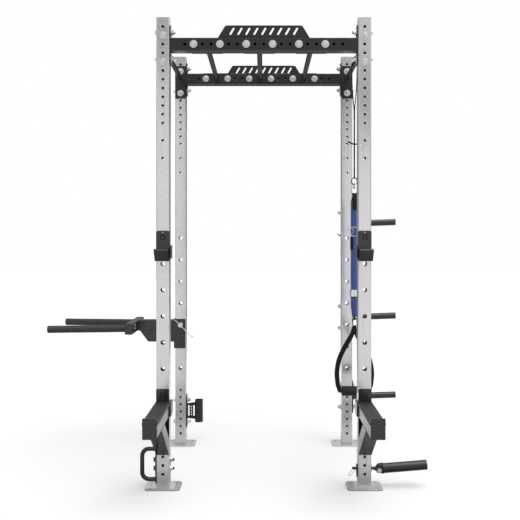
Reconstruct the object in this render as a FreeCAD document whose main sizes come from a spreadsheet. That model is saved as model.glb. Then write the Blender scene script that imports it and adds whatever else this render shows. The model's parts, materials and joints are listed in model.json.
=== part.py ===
import FreeCAD, Part
import Sketcher
import math
import os
import re
import types

# Functional trainer: a free-standing four-post rack with its attachments.
# Millimetres, +Z up.  Origin: centre of the four foot plates' rectangle, on the floor.
# +X is the user's right, -Y is the front, where the bar hooks and spotter arms are.

Vector = FreeCAD.Vector
doc = FreeCAD.newDocument("FunctionalTrainer")

# ---------------------------------------------------------------------------
# Driving dimensions
# ---------------------------------------------------------------------------

SIZES = {
    # posts and beams: 3 inch square tube on a 2 inch hole grid
    "rack_half_x": 584.2,
    "rack_half_y": 495.3,
    "tube_width": 76.2,
    "tube_wall": 4.8,
    "tube_corner": 6.0,
    "inner_corner": 2.0,
    "post_top": 2725.5,
    "cap_thick": 3.0,
    "cap_plug": 12.0,
    "hole_pitch": 50.8,
    "small_hole": 8.5,
    "large_hole": 13.1,
    "top_hole_level": 2674.3,
    "low_hole_level": 83.5,
    "big_hole_level": 540.7,
    "side_hole_level": 108.9,
    # feet
    "foot_length": 203.2,
    "foot_depth": 165.0,
    "foot_thick": 9.5,
    "foot_corner": 25.0,
    "anchor_x": 76.2,
    "anchor_y": 63.5,
    "anchor_hole": 6.0,
    # top structure
    "beam_level": 2572.7,
    "flange_thick": 6.35,
    "flange_height": 228.6,
    "flange_chamfer": 12.0,
    "flange_bolt": 76.2,
    "bar_radius": 16.0,
    "side_bar_level": 2572.7,
    "side_flange_level": 2547.3,
    "side_flange_chamfer": 3.0,
    "bar_flange_width": 203.2,
    "sign_base": 530.0,
    "sign_top": 445.0,
    "sign_height": 70.0,
    "sign_thick": 6.0,
    "sign_corner": 20.0,
    # fasteners
    "bolt_radius": 7.9,
    "nut_bore": 8.0,
    "hex_flats": 24.0,
    "head_height": 10.0,
    "nut_height": 13.0,
    "bolt_tail": 9.0,
    "washer_radius": 22.2,
    "washer_bore": 8.5,
    "washer_thick": 3.5,
    # clearances
    "slip_gap": 0.5,
    "pin_gap": 0.05,
    # plates, hooks and arms of the attachments
    "plate_thick": 8.0,
    "pin_radius": 12.6,
    "pin_reach": 52.0,
    # bar hook (J-cup)
    "hook_pin_level": 1455.1,
    "hook_plate_low": 1318.0,
    "hook_plate_high": 1493.0,
    "hook_width": 80.0,
    "pin_bevel": 2.4,
    "hook_plate_side": 3.6,
    "mark_bevel": 5.0,
    "hook_floor": 50.0,
    "hook_lip": 100.0,
    "hook_lip_level": 1380.5,
    "hook_wing_low": 1332.0,
    "hook_wing_high": 1409.0,
    "hook_wing_depth": 60.0,
    "hook_wing_thick": 10.0,
    "liner_thick": 6.0,
    "hook_mark_level": 1483.0,
    "hook_mark_radius": 4.0,
    # spotter arm
    "arm_plate_low": 198.0,
    "arm_plate_high": 578.0,
    "arm_pin_level": 540.7,
    "arm_low": 420.0,
    "arm_reach": 1064.0,
    "arm_end_low": 416.0,
    "arm_end_high": 525.0,
    "brace_reach": 882.0,
    "brace_wall": 4.8,
    "arm_wing_low": 418.0,
    "arm_wing_high": 500.0,
    "arm_wing_depth": 95.0,
    "arm_wing_thick": 9.0,
    "arm_liner_over": 3.0,
    "arm_liner_thick": 8.0,
    "screw_radius": 5.0,
    # dip station
    "dip_plate_low": 682.0,
    "dip_plate_high": 887.0,
    "dip_plate_width": 70.0,
    "dip_pin_level": 845.5,
    "dip_arm_low": 803.0,
    "dip_arm_end": 886.0,
    "dip_gusset_low": 726.0,
    "dip_gusset_top_end": 870.0,
    "dip_gusset_low_end": 812.0,
    "yoke_width": 52.0,
    "yoke_height": 74.0,
    "yoke_length": 513.0,
    "yoke_wall": 4.0,
    "yoke_low": 801.0,
    "gusset_width": 64.0,
    "handle_radius": 24.5,
    "handle_level": 837.0,
    "handle_length": 528.0,
    "handle_spacing": 200.0,
    "handle_splay": 6.0,
    "handle_round": 6.0,
    "bail_wire": 2.5,
    "rivet_radius": 3.0,
    # storage pegs
    "peg_radius": 22.2,
    "peg_wall": 4.0,
    "peg_reach": 298.0,
    "peg_tilt": 2.0,
    "peg_cap": 6.0,
    "peg_collar_radius": 27.0,
    "peg_collar_length": 8.0,
    # bar holder
    "holder_level": 235.9,
    "holder_radius": 28.5,
    "holder_bore": 26.0,
    "holder_x": 458.0,
    "holder_height": 156.0,
    # tie-down loop
    "tie_level": 134.3,
    "tie_height": 210.0,
    "tie_bar": 12.5,
    "tie_reach": 709.0,
    "tie_high": 222.0,
    "tie_low": 45.0,
    "tie_bend": 41.0,
    # bar pivot
    "shank_radius": 7.8,
    "pivot_x": 671.0,
    "ear_thick": 8.0,
    "tongue_thick": 16.0,
    "tongue_length": 30.0,
    "tongue_radius": 12.0,
    "pivot_bolt": 7.0,
    "pivot_level": 100.9,
    "sleeve_start": 22.5,
    "sleeve_length": 257.0,
    "sleeve_raise": 6.0,
    "rim_radius": 32.5,
    "rim_thick": 3.0,
    "sleeve_radius": 28.5,
    "sleeve_bore": 26.0,
    "sleeve_tilt": 4.6,
    "collar_radius": 37.0,
    "collar_length": 6.0,
    "collar_drop": 12.0,
    "shank_tail": 31.0,
    "ring_radius": 28.0,
    "ring_hole": 4.2,
    "ring_wire": 1.6,
    # suspended trainer
    "web_width": 38.0,
    "web_thick": 3.0,
    "strap_merge": 2267.0,
    "strap_split": 1850.0,
    "strap_end": 1797.0,
    "keeper_level": 2043.0,
    "carabiner_wire": 3.0,
    "ring_bar": 4.0,
    "upper_link_level": 1778.0,
    "core_eye_level": 1710.5,
    "core_eye_radius": 9.0,
    "core_eye_wire": 3.5,
    "core_top": 1681.0,
    "lower_eye_level": 942.0,
    "elastic_radius": 10.0,
    "sleeve_fabric": 24.5,
    "sleeve_lining": 20.0,
    "fabric_top": 1698.0,
    "fabric_taper": 1010.0,
    "fabric_low": 952.0,
    "fabric_mouth": 15.0,
    "slider_low": 1077.0,
    "slider_high": 1120.0,
    "sling_level": 872.0,
    "sling_depth": 30.0,
    "roller_level": 467.0,
    "roller_radius": 32.0,
    "roller_bore": 13.0,
    "roller_rod": 12.5,
    "roller_length": 164.0,
}

sheet = doc.addObject("Spreadsheet::Sheet", "sizes")
for row, (alias, amount) in enumerate(SIZES.items(), start=1):
    sheet.set(f"A{row}", alias)
    sheet.set(f"B{row}", str(amount))
    sheet.setAlias(f"B{row}", alias)
doc.recompute()
d = types.SimpleNamespace(**{alias: float(getattr(sheet, alias)) for alias in SIZES})

FACE = d.rack_half_y + d.tube_width / 2  # distance of the posts' outer faces from the origin along Y
INNER_Y = d.rack_half_y - d.tube_width / 2
OUTER_X = d.rack_half_x + d.tube_width / 2
INNER_X = d.rack_half_x - d.tube_width / 2

nodes = {}

# ---------------------------------------------------------------------------
# Building blocks
# ---------------------------------------------------------------------------


def linked(text):
    """Turn the aliases in an expression into references to the sheet."""
    return re.sub(r"[a-z_]+", lambda m: f"sizes.{m[0]}" if m[0] in SIZES else m[0], str(text))


def bind(obj, **expressions):
    for name, text in expressions.items():
        obj.setExpression(name, linked(text))


def place(obj, x, y, z, rotation=None):
    """Set the rotation, then bind the position to expressions."""
    if rotation is not None:
        obj.Placement = FreeCAD.Placement(Vector(0, 0, 0), rotation)
    for axis, text in zip("xyz", (x, y, z)):
        obj.setExpression(f"Placement.Base.{axis}", linked(text))


def node(label, obj):
    """Name a finished sub-part; the label is also its file name."""
    obj.Label = label
    nodes[label] = obj
    return obj


def block(x_size, y_size, z_size, x, y, z):
    """A box centred on x, y, z."""
    box = doc.addObject("Part::Box", "Block")
    bind(box, Length=x_size, Width=y_size, Height=z_size)
    place(box, f"({x}) - ({x_size}) / 2", f"({y}) - ({y_size}) / 2", f"({z}) - ({z_size}) / 2")
    return box


TURN = {
    "X": FreeCAD.Rotation(Vector(0, 1, 0), 90),
    "Y": FreeCAD.Rotation(Vector(1, 0, 0), -90),
    "Z": FreeCAD.Rotation(),
}


def rod(axis, radius, length, x, y, z):
    """A round bar along one axis, centred on x, y, z."""
    bar = doc.addObject("Part::Cylinder", "Rod")
    bind(bar, Radius=radius, Height=length)
    ends = {"X": x, "Y": y, "Z": z}
    ends[axis] = f"({ends[axis]}) - ({length}) / 2"
    place(bar, ends["X"], ends["Y"], ends["Z"], TURN[axis])
    return bar


def fuse(*parts):
    if len(parts) == 1:
        return parts[0]
    union = doc.addObject("Part::MultiFuse", "Union")
    union.Shapes = list(parts)
    return union


def cut(base, *tools):
    rest = doc.addObject("Part::Cut", "Rest")
    rest.Base = base
    rest.Tool = fuse(*tools)
    return rest


def group(parts):
    """Separate solids of one kind, kept in one node."""
    compound = doc.addObject("Part::Compound", "Group")
    compound.Links = list(parts)
    return compound


def rounded_path(corners, closed):
    """Lines and tangent arcs through corners (x, y) or (x, y, radius)."""
    points = [Vector(c[0], c[1], 0) for c in corners]
    radii = [c[2] if len(c) > 2 else 0 for c in corners]
    starts, ends, arcs = [], [], []
    for i, point in enumerate(points):
        before, after = points[i - 1], points[(i + 1) % len(points)]
        if radii[i] == 0 or (not closed and i in (0, len(points) - 1)):
            starts.append(point)
            ends.append(point)
            arcs.append(None)
            continue
        inward = (before - point).normalize()
        outward = (after - point).normalize()
        half = inward.getAngle(outward) / 2
        setback = radii[i] / math.tan(half)
        middle = (inward + outward).normalize()
        centre = point + middle * (radii[i] / math.sin(half))
        starts.append(point + inward * setback)
        ends.append(point + outward * setback)
        arcs.append(Part.Arc(starts[i], centre - middle * radii[i], ends[i]))
    edges = []
    for i in range(len(points)):
        if arcs[i] is not None:
            edges.append(arcs[i])
        following = (i + 1) % len(points)
        if closed or following > 0:
            if (starts[following] - ends[i]).Length > 1e-6:
                edges.append(Part.LineSegment(ends[i], starts[following]))
    return edges


def plane_sketch(body, role, name):
    """An empty sketch on one of the body's own origin planes."""
    sketch = body.newObject("Sketcher::SketchObject", name)
    plane = next(f for f in body.Origin.OriginFeatures if f.Role == role)
    sketch.AttachmentSupport = (plane, "")
    sketch.MapMode = "FlatFace"
    return sketch


def prism(plane, outlines, thickness, x, y, z, circles=(), rotation=None):
    """A body padded both ways from a plane: the first outline less the others and the circles."""
    body = doc.addObject("PartDesign::Body", "Prism")
    sketch = plane_sketch(body, f"{plane}_Plane", "Profile")
    for outline in outlines:
        for edge in rounded_path(outline, closed=True):
            sketch.addGeometry(edge)
    for u, v, radius in circles:
        sketch.addGeometry(Part.Circle(Vector(u, v, 0), Vector(0, 0, 1), radius))
    pad = body.newObject("PartDesign::Pad", "Pad")
    pad.Profile = sketch
    pad.SideType = "Symmetric"
    bind(pad, Length=thickness)
    place(body, x, y, z, rotation)
    return body


def rectangle(width, height, corner=0.0, u=0.0, v=0.0):
    """Corners of a rectangle centred on u, v."""
    signs = ((-1, -1), (1, -1), (1, 1), (-1, 1))
    return [(u + a * width / 2, v + b * height / 2, corner) for a, b in signs]


def tube_section():
    hollow = d.tube_width - 2 * d.tube_wall
    return [rectangle(d.tube_width, d.tube_width, d.tube_corner), rectangle(hollow, hollow, d.inner_corner)]


def hole_row(body, role, radius, u, v, pitch, count, direction):
    """A row of through holes cut from a body, bound to the sheet's pitch."""
    sketch = plane_sketch(body, role, "HoleSketch")
    circle = sketch.addGeometry(Part.Circle(Vector(u, v, 0), Vector(0, 0, 1), d.small_hole))
    sketch.addConstraint(Sketcher.Constraint("Radius", circle, getattr(d, radius)))
    sketch.setExpression("Constraints[0]", linked(radius))
    pocket = body.newObject("PartDesign::Pocket", "Holes")
    pocket.Profile = sketch
    pocket.Type = "ThroughAll"
    pocket.SideType = "Symmetric"
    doc.recompute()
    pattern = body.newObject("PartDesign::LinearPattern", "HoleRow")
    pattern.Originals = [pocket]
    pattern.Direction = (sketch, [direction])
    pattern.Occurrences = count
    bind(pattern, Length=f"{pitch} * {count - 1}")
    body.Tip = pattern


def bent_rod(plane, corners, radius, x, y, z, closed=False):
    """A round bar swept along a path of lines and tangent arcs in a plane."""
    turns = {"XZ": FreeCAD.Rotation(Vector(1, 0, 0), 90), "YZ": FreeCAD.Rotation(Vector(1, 1, 1), 120)}
    spine = doc.addObject("Sketcher::SketchObject", "Spine")
    edges = rounded_path(corners, closed)
    for edge in edges:
        spine.addGeometry(edge)
    place(spine, x, y, z, turns[plane])
    doc.recompute()
    start = spine.Shape.Edges[0]
    heading = start.tangentAt(start.FirstParameter)
    section = doc.addObject("Part::Circle", "Section")
    bind(section, Radius=radius)
    section.Placement = FreeCAD.Placement(
        start.valueAt(start.FirstParameter), FreeCAD.Rotation(Vector(0, 0, 1), heading))
    sweep = doc.addObject("Part::Sweep", "BentRod")
    sweep.Sections = [section]
    sweep.Spine = (spine, [f"Edge{i + 1}" for i in range(len(spine.Shape.Edges))])
    sweep.Solid = True
    sweep.Frenet = True
    return sweep


# ---------------------------------------------------------------------------
# Fasteners: every bolt is recorded as it is needed and built at the end
# ---------------------------------------------------------------------------

bolt_places = []


def bolt_at(axis, outward, head_face, nut_face, u, v, black_head=False):
    """One bolt: its axis, the side its head is on, the two clamped faces and the other two coordinates."""
    bolt_places.append((axis, outward, head_face, nut_face, u, v, black_head))


def on_axis(axis, along, u, v):
    """Coordinates of a point: along the axis, then the other two in X, Y, Z order."""
    return (along, u, v) if axis == "X" else (u, along, v)


def hexagon(axis, height, centre):
    """A hexagonal prism along an axis, flats upright, centred on a point."""
    prism_object = doc.addObject("Part::Prism", "Hexagon")
    prism_object.Polygon = 6
    bind(prism_object, Circumradius="hex_flats / 2 / cos(30)", Height=height)
    spots = dict(zip("XYZ", centre))
    spots[axis] = f"({spots[axis]}) - ({height}) / 2"
    place(prism_object, spots["X"], spots["Y"], spots["Z"], TURN[axis])
    return prism_object


def build_fasteners():
    bolts, black_bolts, washers, bores, nuts, nut_bores = [], [], [], [], [], []
    for axis, outward, head_face, nut_face, u, v, black_head in bolt_places:
        under_head = head_face + outward * d.washer_thick
        tail = nut_face - outward * (d.washer_thick + d.nut_height + d.bolt_tail)
        middle = (under_head + tail) / 2
        shank = rod(axis, "bolt_radius", abs(under_head - tail), *on_axis(axis, middle, u, v))
        head_centre = under_head + outward * d.head_height / 2
        head = hexagon(axis, "head_height", on_axis(axis, head_centre, u, v))
        (black_bolts if black_head else bolts).append(fuse(head, shank))
        for face, side in ((head_face, outward), (nut_face, -outward)):
            centre = on_axis(axis, face + side * d.washer_thick / 2, u, v)
            washers.append(rod(axis, "washer_radius", "washer_thick", *centre))
            bores.append(rod(axis, "washer_bore", "washer_thick * 3", *centre))
        nut_centre = nut_face - outward * (d.washer_thick + d.nut_height / 2)
        nuts.append(hexagon(axis, "nut_height", on_axis(axis, nut_centre, u, v)))
        nut_bores.append(rod(axis, "nut_bore", "nut_height * 2", *on_axis(axis, nut_centre, u, v)))
    node("frame_bolts", group(bolts))
    node("tie_down_bolts", group(black_bolts))
    node("frame_washers", cut(group(washers), group(bores)))
    node("frame_nuts", cut(group(nuts), group(nut_bores)))


# ---------------------------------------------------------------------------
# Frame
# ---------------------------------------------------------------------------


def post(label, x, y):
    """Square tube with small holes at the top and foot, large holes between, and a full side grid."""
    body = doc.addObject("PartDesign::Body", "Post")
    sketch = plane_sketch(body, "XY_Plane", "Section")
    for outline in tube_section():
        for edge in rounded_path(outline, closed=True):
            sketch.addGeometry(edge)
    pad = body.newObject("PartDesign::Pad", "Tube")
    pad.Profile = sketch
    bind(pad, Length="post_top - foot_thick")
    doc.recompute()
    base = d.foot_thick
    top = d.top_hole_level - base
    pitch = d.hole_pitch
    hole_row(body, "XZ_Plane", "small_hole", 0, top - 11 * pitch, "hole_pitch", 12, "V_Axis")
    hole_row(body, "XZ_Plane", "small_hole", 0, top - 15 * pitch, "hole_pitch * 2", 2, "V_Axis")
    hole_row(body, "XZ_Plane", "large_hole", 0, d.big_hole_level - base, "hole_pitch * 3", 7, "V_Axis")
    hole_row(body, "XZ_Plane", "small_hole", 0, d.low_hole_level - base, "hole_pitch", 7, "V_Axis")
    hole_row(body, "YZ_Plane", "small_hole", 0, d.side_hole_level - base, "hole_pitch", 51, "V_Axis")
    place(body, x, y, "foot_thick")
    return node(label, body)


def build_posts():
    for depth, y in (("front", "-rack_half_y"), ("rear", "rack_half_y")):
        for side, x in (("left", "-rack_half_x"), ("right", "rack_half_x")):
            post(f"upright_{depth}_{side}", x, y)


def corner_places():
    return [(x, y) for y in ("-rack_half_y", "rack_half_y") for x in ("-rack_half_x", "rack_half_x")]


def build_feet_and_caps():
    anchors = [(a * d.anchor_x, b * d.anchor_y, d.anchor_hole) for a in (-1, 1) for b in (-1, 1)]
    outline = rectangle(d.foot_length, d.foot_depth, d.foot_corner)
    feet = [prism("XY", [outline], "foot_thick", x, y, "foot_thick / 2", anchors) for x, y in corner_places()]
    node("foot_plates", group(feet))
    plug_width = d.tube_width - 2 * d.tube_wall - 1
    lid = rectangle(d.tube_width, d.tube_width, d.tube_corner)
    caps = []
    for x, y in corner_places():
        top = prism("XY", [lid], "cap_thick", x, y, "post_top + cap_thick / 2")
        plug = prism("XY", [rectangle(plug_width, plug_width, d.inner_corner)], "cap_plug",
                     x, y, "post_top - cap_plug / 2")
        caps.append(fuse(top, plug))
    node("upright_caps", group(caps))


def flange(plane, width, x, y, z, bolt_offsets, chamfer=d.flange_chamfer):
    """A chamfered plate with clearance holes at the offsets along its long side."""
    if plane == "XZ" and width > d.tube_width:
        long_half, short_half = width / 2, d.tube_width / 2
        outline = [(-long_half + chamfer, -short_half), (long_half - chamfer, -short_half),
                   (long_half, -short_half + chamfer), (long_half, short_half - chamfer),
                   (long_half - chamfer, short_half), (-long_half + chamfer, short_half),
                   (-long_half, short_half - chamfer), (-long_half, -short_half + chamfer)]
        holes = [(offset, 0, d.small_hole) for offset in bolt_offsets]
    else:
        half, tall = d.tube_width / 2, d.flange_height / 2
        outline = [(-half + chamfer, -tall), (half - chamfer, -tall), (half, -tall + chamfer),
                   (half, tall - chamfer), (half - chamfer, tall), (-half + chamfer, tall),
                   (-half, tall - chamfer), (-half, -tall + chamfer)]
        holes = [(0, offset, d.small_hole) for offset in bolt_offsets]
    return prism(plane, [outline], "flange_thick", x, y, z, holes)


PAIR = (-d.flange_bolt, d.flange_bolt)
BEAM_HOLES = 19
PULL_UP_PLACES = {"left": -6.5, "middle": -0.5, "right": 5.5}  # in hole pitches from the rack's middle


def build_beams():
    """Drilled cross beams, each with a flange welded to both ends."""
    beam_length = "2 * (rack_half_x - tube_width / 2 - flange_thick)"
    for label, side in (("front_beam", -1), ("rear_beam", 1)):
        y = f"{side} * rack_half_y"
        tube = prism("YZ", tube_section(), beam_length, 0, y, "beam_level")
        first = -(BEAM_HOLES - 1) / 2 * d.hole_pitch
        hole_row(tube, "XZ_Plane", "small_hole", first, 0, "hole_pitch", BEAM_HOLES, "H_Axis")
        ends = []
        for hand in (-1, 1):
            x = f"{hand} * (rack_half_x - tube_width / 2 - flange_thick / 2)"
            ends.append(flange("YZ", d.tube_width, x, y, "beam_level", PAIR))
            for offset in PAIR:
                bolt_at("X", hand, hand * OUTER_X, hand * (INNER_X - d.flange_thick),
                        side * d.rack_half_y, d.beam_level + offset)
        node(label, fuse(tube, *ends))


def build_signs():
    """Trapezoid plates standing on the beams, each with a row of plain slanted slots."""
    half_base, half_top = d.sign_base / 2, d.sign_top / 2
    outline = [(-half_base, 0), (half_base, 0), (half_top, d.sign_height, d.sign_corner),
               (-half_top, d.sign_height, d.sign_corner)]
    slot_count, slot_step = 9, 46.0
    slot_width, slot_low, slot_high, slant, slot_round = 13.0, 15.0, 57.0, 12.0, 5.0
    slots = []
    for i in range(slot_count):
        middle = (i - (slot_count - 1) / 2) * slot_step
        left, right = middle - slot_width / 2, middle + slot_width / 2
        slots.append([(left - slant, slot_low, slot_round), (right - slant, slot_low, slot_round),
                      (right + slant, slot_high, slot_round), (left + slant, slot_high, slot_round)])
    plates = []
    for side in (-1, 1):
        y = f"{side} * (rack_half_y + tube_width / 2 - sign_thick / 2)"
        plates.append(prism("XZ", [outline] + slots, "sign_thick", 0, y, "beam_level + tube_width / 2"))
    node("sign_plates", group(plates))


def build_side_bars():
    reach = "2 * (rack_half_y - tube_width / 2 - flange_thick)"
    for label, hand in (("side_bar_left", -1), ("side_bar_right", 1)):
        x = f"{hand} * rack_half_x"
        parts = [rod("Y", "bar_radius", reach, x, 0, "side_bar_level")]
        for side in (-1, 1):
            y = f"{side} * (rack_half_y - tube_width / 2 - flange_thick / 2)"
            parts.append(flange("XZ", d.tube_width, x, y, "side_flange_level", PAIR, d.side_flange_chamfer))
            for offset in PAIR:
                bolt_at("Y", side, side * FACE, side * (INNER_Y - d.flange_thick),
                        hand * d.rack_half_x, d.side_flange_level + offset)
        node(label, fuse(*parts))


def build_pull_up_bars():
    reach = "2 * (rack_half_y - tube_width / 2 - flange_thick)"
    for name, pitches in PULL_UP_PLACES.items():
        x = f"{pitches} * hole_pitch"
        parts = [rod("Y", "bar_radius", reach, x, 0, "beam_level")]
        for side in (-1, 1):
            y = f"{side} * (rack_half_y - tube_width / 2 - flange_thick / 2)"
            parts.append(flange("XZ", d.bar_flange_width, x, y, "beam_level", PAIR))
            for offset in PAIR:
                bolt_at("Y", side, side * FACE, side * (INNER_Y - d.flange_thick),
                        pitches * d.hole_pitch + offset, d.beam_level)
        node(f"pull_up_bar_{name}", fuse(*parts))


# peg flange centres, in hole pitches above the first side hole
PEG_HOLES = {"upper": 28.5, "middle": 15.5, "lower": 4.5}


def build_pegs():
    """Storage pegs on the right rear post, tipped up a little so that plates stay on."""
    caps = []
    tilt = FreeCAD.Rotation(Vector(0, 1, 0), 90 - d.peg_tilt)
    for name, pitches in PEG_HOLES.items():
        level = d.side_hole_level + pitches * d.hole_pitch
        z = f"side_hole_level + {pitches} * hole_pitch"
        start = "rack_half_x + tube_width / 2 + flange_thick / 2"
        plate = flange("YZ", d.tube_width, start, "rack_half_y", z, PAIR)
        for offset in PAIR:
            bolt_at("X", 1, OUTER_X + d.flange_thick, INNER_X, d.rack_half_y, level + offset)
        outer = rod("X", "peg_radius", "peg_reach", start, "rack_half_y", z)
        place(outer, start, "rack_half_y", z, tilt)
        inner = rod("X", "peg_radius - peg_wall", "peg_reach", start, "rack_half_y", z)
        place(inner, f"{start} + flange_thick", "rack_half_y", z, tilt)
        collar = rod("X", "peg_collar_radius", "peg_collar_length", start, "rack_half_y", z)
        place(collar, start, "rack_half_y", z, tilt)
        node(f"plate_peg_{name}", fuse(plate, cut(fuse(outer, collar), inner)))
        end_x = f"{start} + peg_reach * cos(peg_tilt)"
        end_z = f"{z} + peg_reach * sin(peg_tilt)"
        cap = rod("X", "peg_radius", "peg_cap", end_x, "rack_half_y", end_z)
        place(cap, end_x, "rack_half_y", end_z, tilt)
        caps.append(cap)
    node("peg_end_caps", group(caps))


def build_bar_holder():
    """Flange, slotted web and upright tube for storing a bar on end."""
    inner_face = INNER_X - d.flange_thick
    tube_edge = d.holder_x + d.holder_radius
    plate = flange("YZ", d.tube_width, "-(rack_half_x - tube_width / 2 - flange_thick / 2)", "rack_half_y",
                   "holder_level", PAIR)
    for offset in PAIR:
        bolt_at("X", -1, -OUTER_X, -inner_face, d.rack_half_y, d.holder_level + offset)
    low_rise, high_rise, bury = 52.0, 60.0, 6.0
    outline = [(-inner_face, -low_rise), (-tube_edge + bury, -high_rise), (-tube_edge + bury, high_rise),
               (-inner_face, low_rise)]
    slot_width, slot_height, slot_inset = 9.0, 76.0, 10.0
    slots = [rectangle(slot_width, slot_height, 3, -inner_face + slot_inset),
             rectangle(slot_width, slot_height, 3, -tube_edge - slot_inset + bury / 2)]
    dot_radius, dot_step, dot_count = 4.5, 18.0, 4
    middle = -(inner_face + tube_edge - bury / 2) / 2
    dots = [(middle, (i - (dot_count - 1) / 2) * dot_step, dot_radius) for i in range(dot_count)]
    web = prism("XZ", [outline] + slots, "flange_thick", 0, "rack_half_y", "holder_level", dots)
    barrel = rod("Z", "holder_radius", "holder_height", "-holder_x", "rack_half_y", "holder_level")
    bore = rod("Z", "holder_bore", "holder_height * 1.2", "-holder_x", "rack_half_y", "holder_level")
    node("bar_holder", cut(fuse(plate, web, barrel), bore))


def build_tie_down():
    """Low loop for bands or ropes on the outside of the left front post."""
    for pitches in (0, 1):
        bolt_at("X", -1, -(OUTER_X + d.flange_thick), -INNER_X, -d.rack_half_y,
                d.side_hole_level + pitches * d.hole_pitch, black_head=True)
    half, tall, corner = d.tube_width / 2, d.tie_height / 2, 6.0
    outline = [(-half, -tall, corner), (half, -tall, corner), (half, tall, corner), (-half, tall, corner)]
    holes = [(0, d.side_hole_level + n * d.hole_pitch - d.tie_level, d.small_hole) for n in (0, 1)]
    plate = prism("YZ", [outline], "flange_thick", "-(rack_half_x + tube_width / 2 + flange_thick / 2)",
                  "-rack_half_y", "tie_level", holes)
    root = -(OUTER_X + d.flange_thick / 2)
    path = [(root, d.tie_high), (-d.tie_reach, d.tie_high, d.tie_bend),
            (-d.tie_reach, d.tie_low, d.tie_bend), (root, d.tie_low)]
    loop = bent_rod("XZ", path, "tie_bar", 0, "-rack_half_y", 0)
    node("tie_down_loop", fuse(plate, loop))


# ---------------------------------------------------------------------------
# Bar hooks and spotter arms
# ---------------------------------------------------------------------------

GRIP = FACE + d.slip_gap  # distance of the attachments' back faces from the origin along Y


PLATE_FRONT = "(rack_half_y + tube_width / 2 + slip_gap + plate_thick)"


def bevel_cone(front_radius, back_radius, x, level):
    """A short cone that starts at the front of an attachment's plate and runs into it."""
    cone = doc.addObject("Part::Cone", "Bevel")
    bind(cone, Radius1=front_radius, Radius2=back_radius, Height="pin_bevel")
    place(cone, x, f"-{PLATE_FRONT}", level, TURN["Y"])
    return cone


def attachment_pin(label, x, level):
    """Locating pin, flush with the front of its plate, with a bevelled edge."""
    length = "(pin_reach - pin_bevel)"
    shank = rod("Y", "pin_radius", length, x, f"-{PLATE_FRONT} + pin_bevel + {length} / 2", level)
    return node(label, fuse(shank, bevel_cone("pin_radius - pin_bevel", "pin_radius", x, level)))


def bar_hook(side_name, hand):
    """Back plate, floor and slanted lip, with a wing that bears on the post's inner side."""
    x = f"{hand} * rack_half_x"
    top_round = 12.0
    front = -(GRIP + d.plate_thick)
    half = d.tube_width / 2
    middle_y = "-(rack_half_y + tube_width / 2 + slip_gap + plate_thick / 2)"
    left, right = -half, half + d.hook_plate_side
    if hand > 0:
        left, right = -right, half
    plate_outline = [(left, d.hook_plate_low), (right, d.hook_plate_low),
                     (right, d.hook_plate_high, top_round), (left, d.hook_plate_high, top_round)]
    holes = [(0, d.hook_pin_level, d.pin_radius + d.pin_gap), (0, d.hook_mark_level, d.hook_mark_radius)]
    plate = cut(prism("XZ", [plate_outline], "plate_thick", x, middle_y, 0, holes),
                bevel_cone("pin_radius + pin_bevel", "pin_radius + pin_gap", x, "hook_pin_level"),
                bevel_cone("hook_mark_radius + mark_bevel", "hook_mark_radius", x, "hook_mark_level"))
    floor_y, lip_y = -(GRIP + d.hook_floor), -(GRIP + d.hook_lip)
    rise = d.hook_lip_level - d.hook_plate_low
    run = d.hook_lip - d.hook_floor
    slope = math.hypot(rise, run)
    across, up = d.plate_thick * rise / slope, d.plate_thick * run / slope
    floor_top = d.hook_plate_low + d.plate_thick
    bend_y = floor_y + (d.plate_thick * slope - d.plate_thick * run) / rise
    hook_outline = [(front + 1, d.hook_plate_low), (floor_y, d.hook_plate_low, 6), (lip_y, d.hook_lip_level),
                    (lip_y + across, d.hook_lip_level + up), (bend_y, floor_top), (front + 1, floor_top)]
    hook = prism("YZ", [hook_outline], "hook_width", x, 0, 0)
    wing_front, wing_back = front - 12, -(FACE - d.hook_wing_depth)
    wing_x = f"{hand} * (rack_half_x - tube_width / 2 - slip_gap - hook_wing_thick / 2)"
    wing_round = 3.0
    wing_outline = [(wing_front, d.hook_wing_low), (wing_back, d.hook_wing_low, wing_round),
                    (wing_back, d.hook_wing_high, wing_round), (wing_front, d.hook_wing_high, wing_round)]
    wing = prism("YZ", [wing_outline], "hook_wing_thick", wing_x, 0, 0)
    root_x = f"{hand} * (rack_half_x - tube_width / 2 + 1)"
    root = block(6, "plate_thick", "hook_wing_high - hook_wing_low", root_x, middle_y,
                 "(hook_wing_high + hook_wing_low) / 2")
    node(f"jcup_{side_name}_hook", fuse(plate, hook, wing, root))
    # the liner lies on the floor and up the inside of the lip
    t = d.liner_thick
    lay_top = floor_top + t
    inner_bend = bend_y + t * (slope - run) / rise
    liner_outline = [(front, floor_top), (bend_y, floor_top), (lip_y + across, d.hook_lip_level + up),
                     (lip_y + across + t * rise / slope, d.hook_lip_level + up + t * run / slope),
                     (inner_bend, lay_top), (front, lay_top)]
    node(f"jcup_{side_name}_liner", prism("YZ", [liner_outline], "tube_width", x, 0, 0))
    attachment_pin(f"jcup_{side_name}_pin", x, "hook_pin_level")


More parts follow.
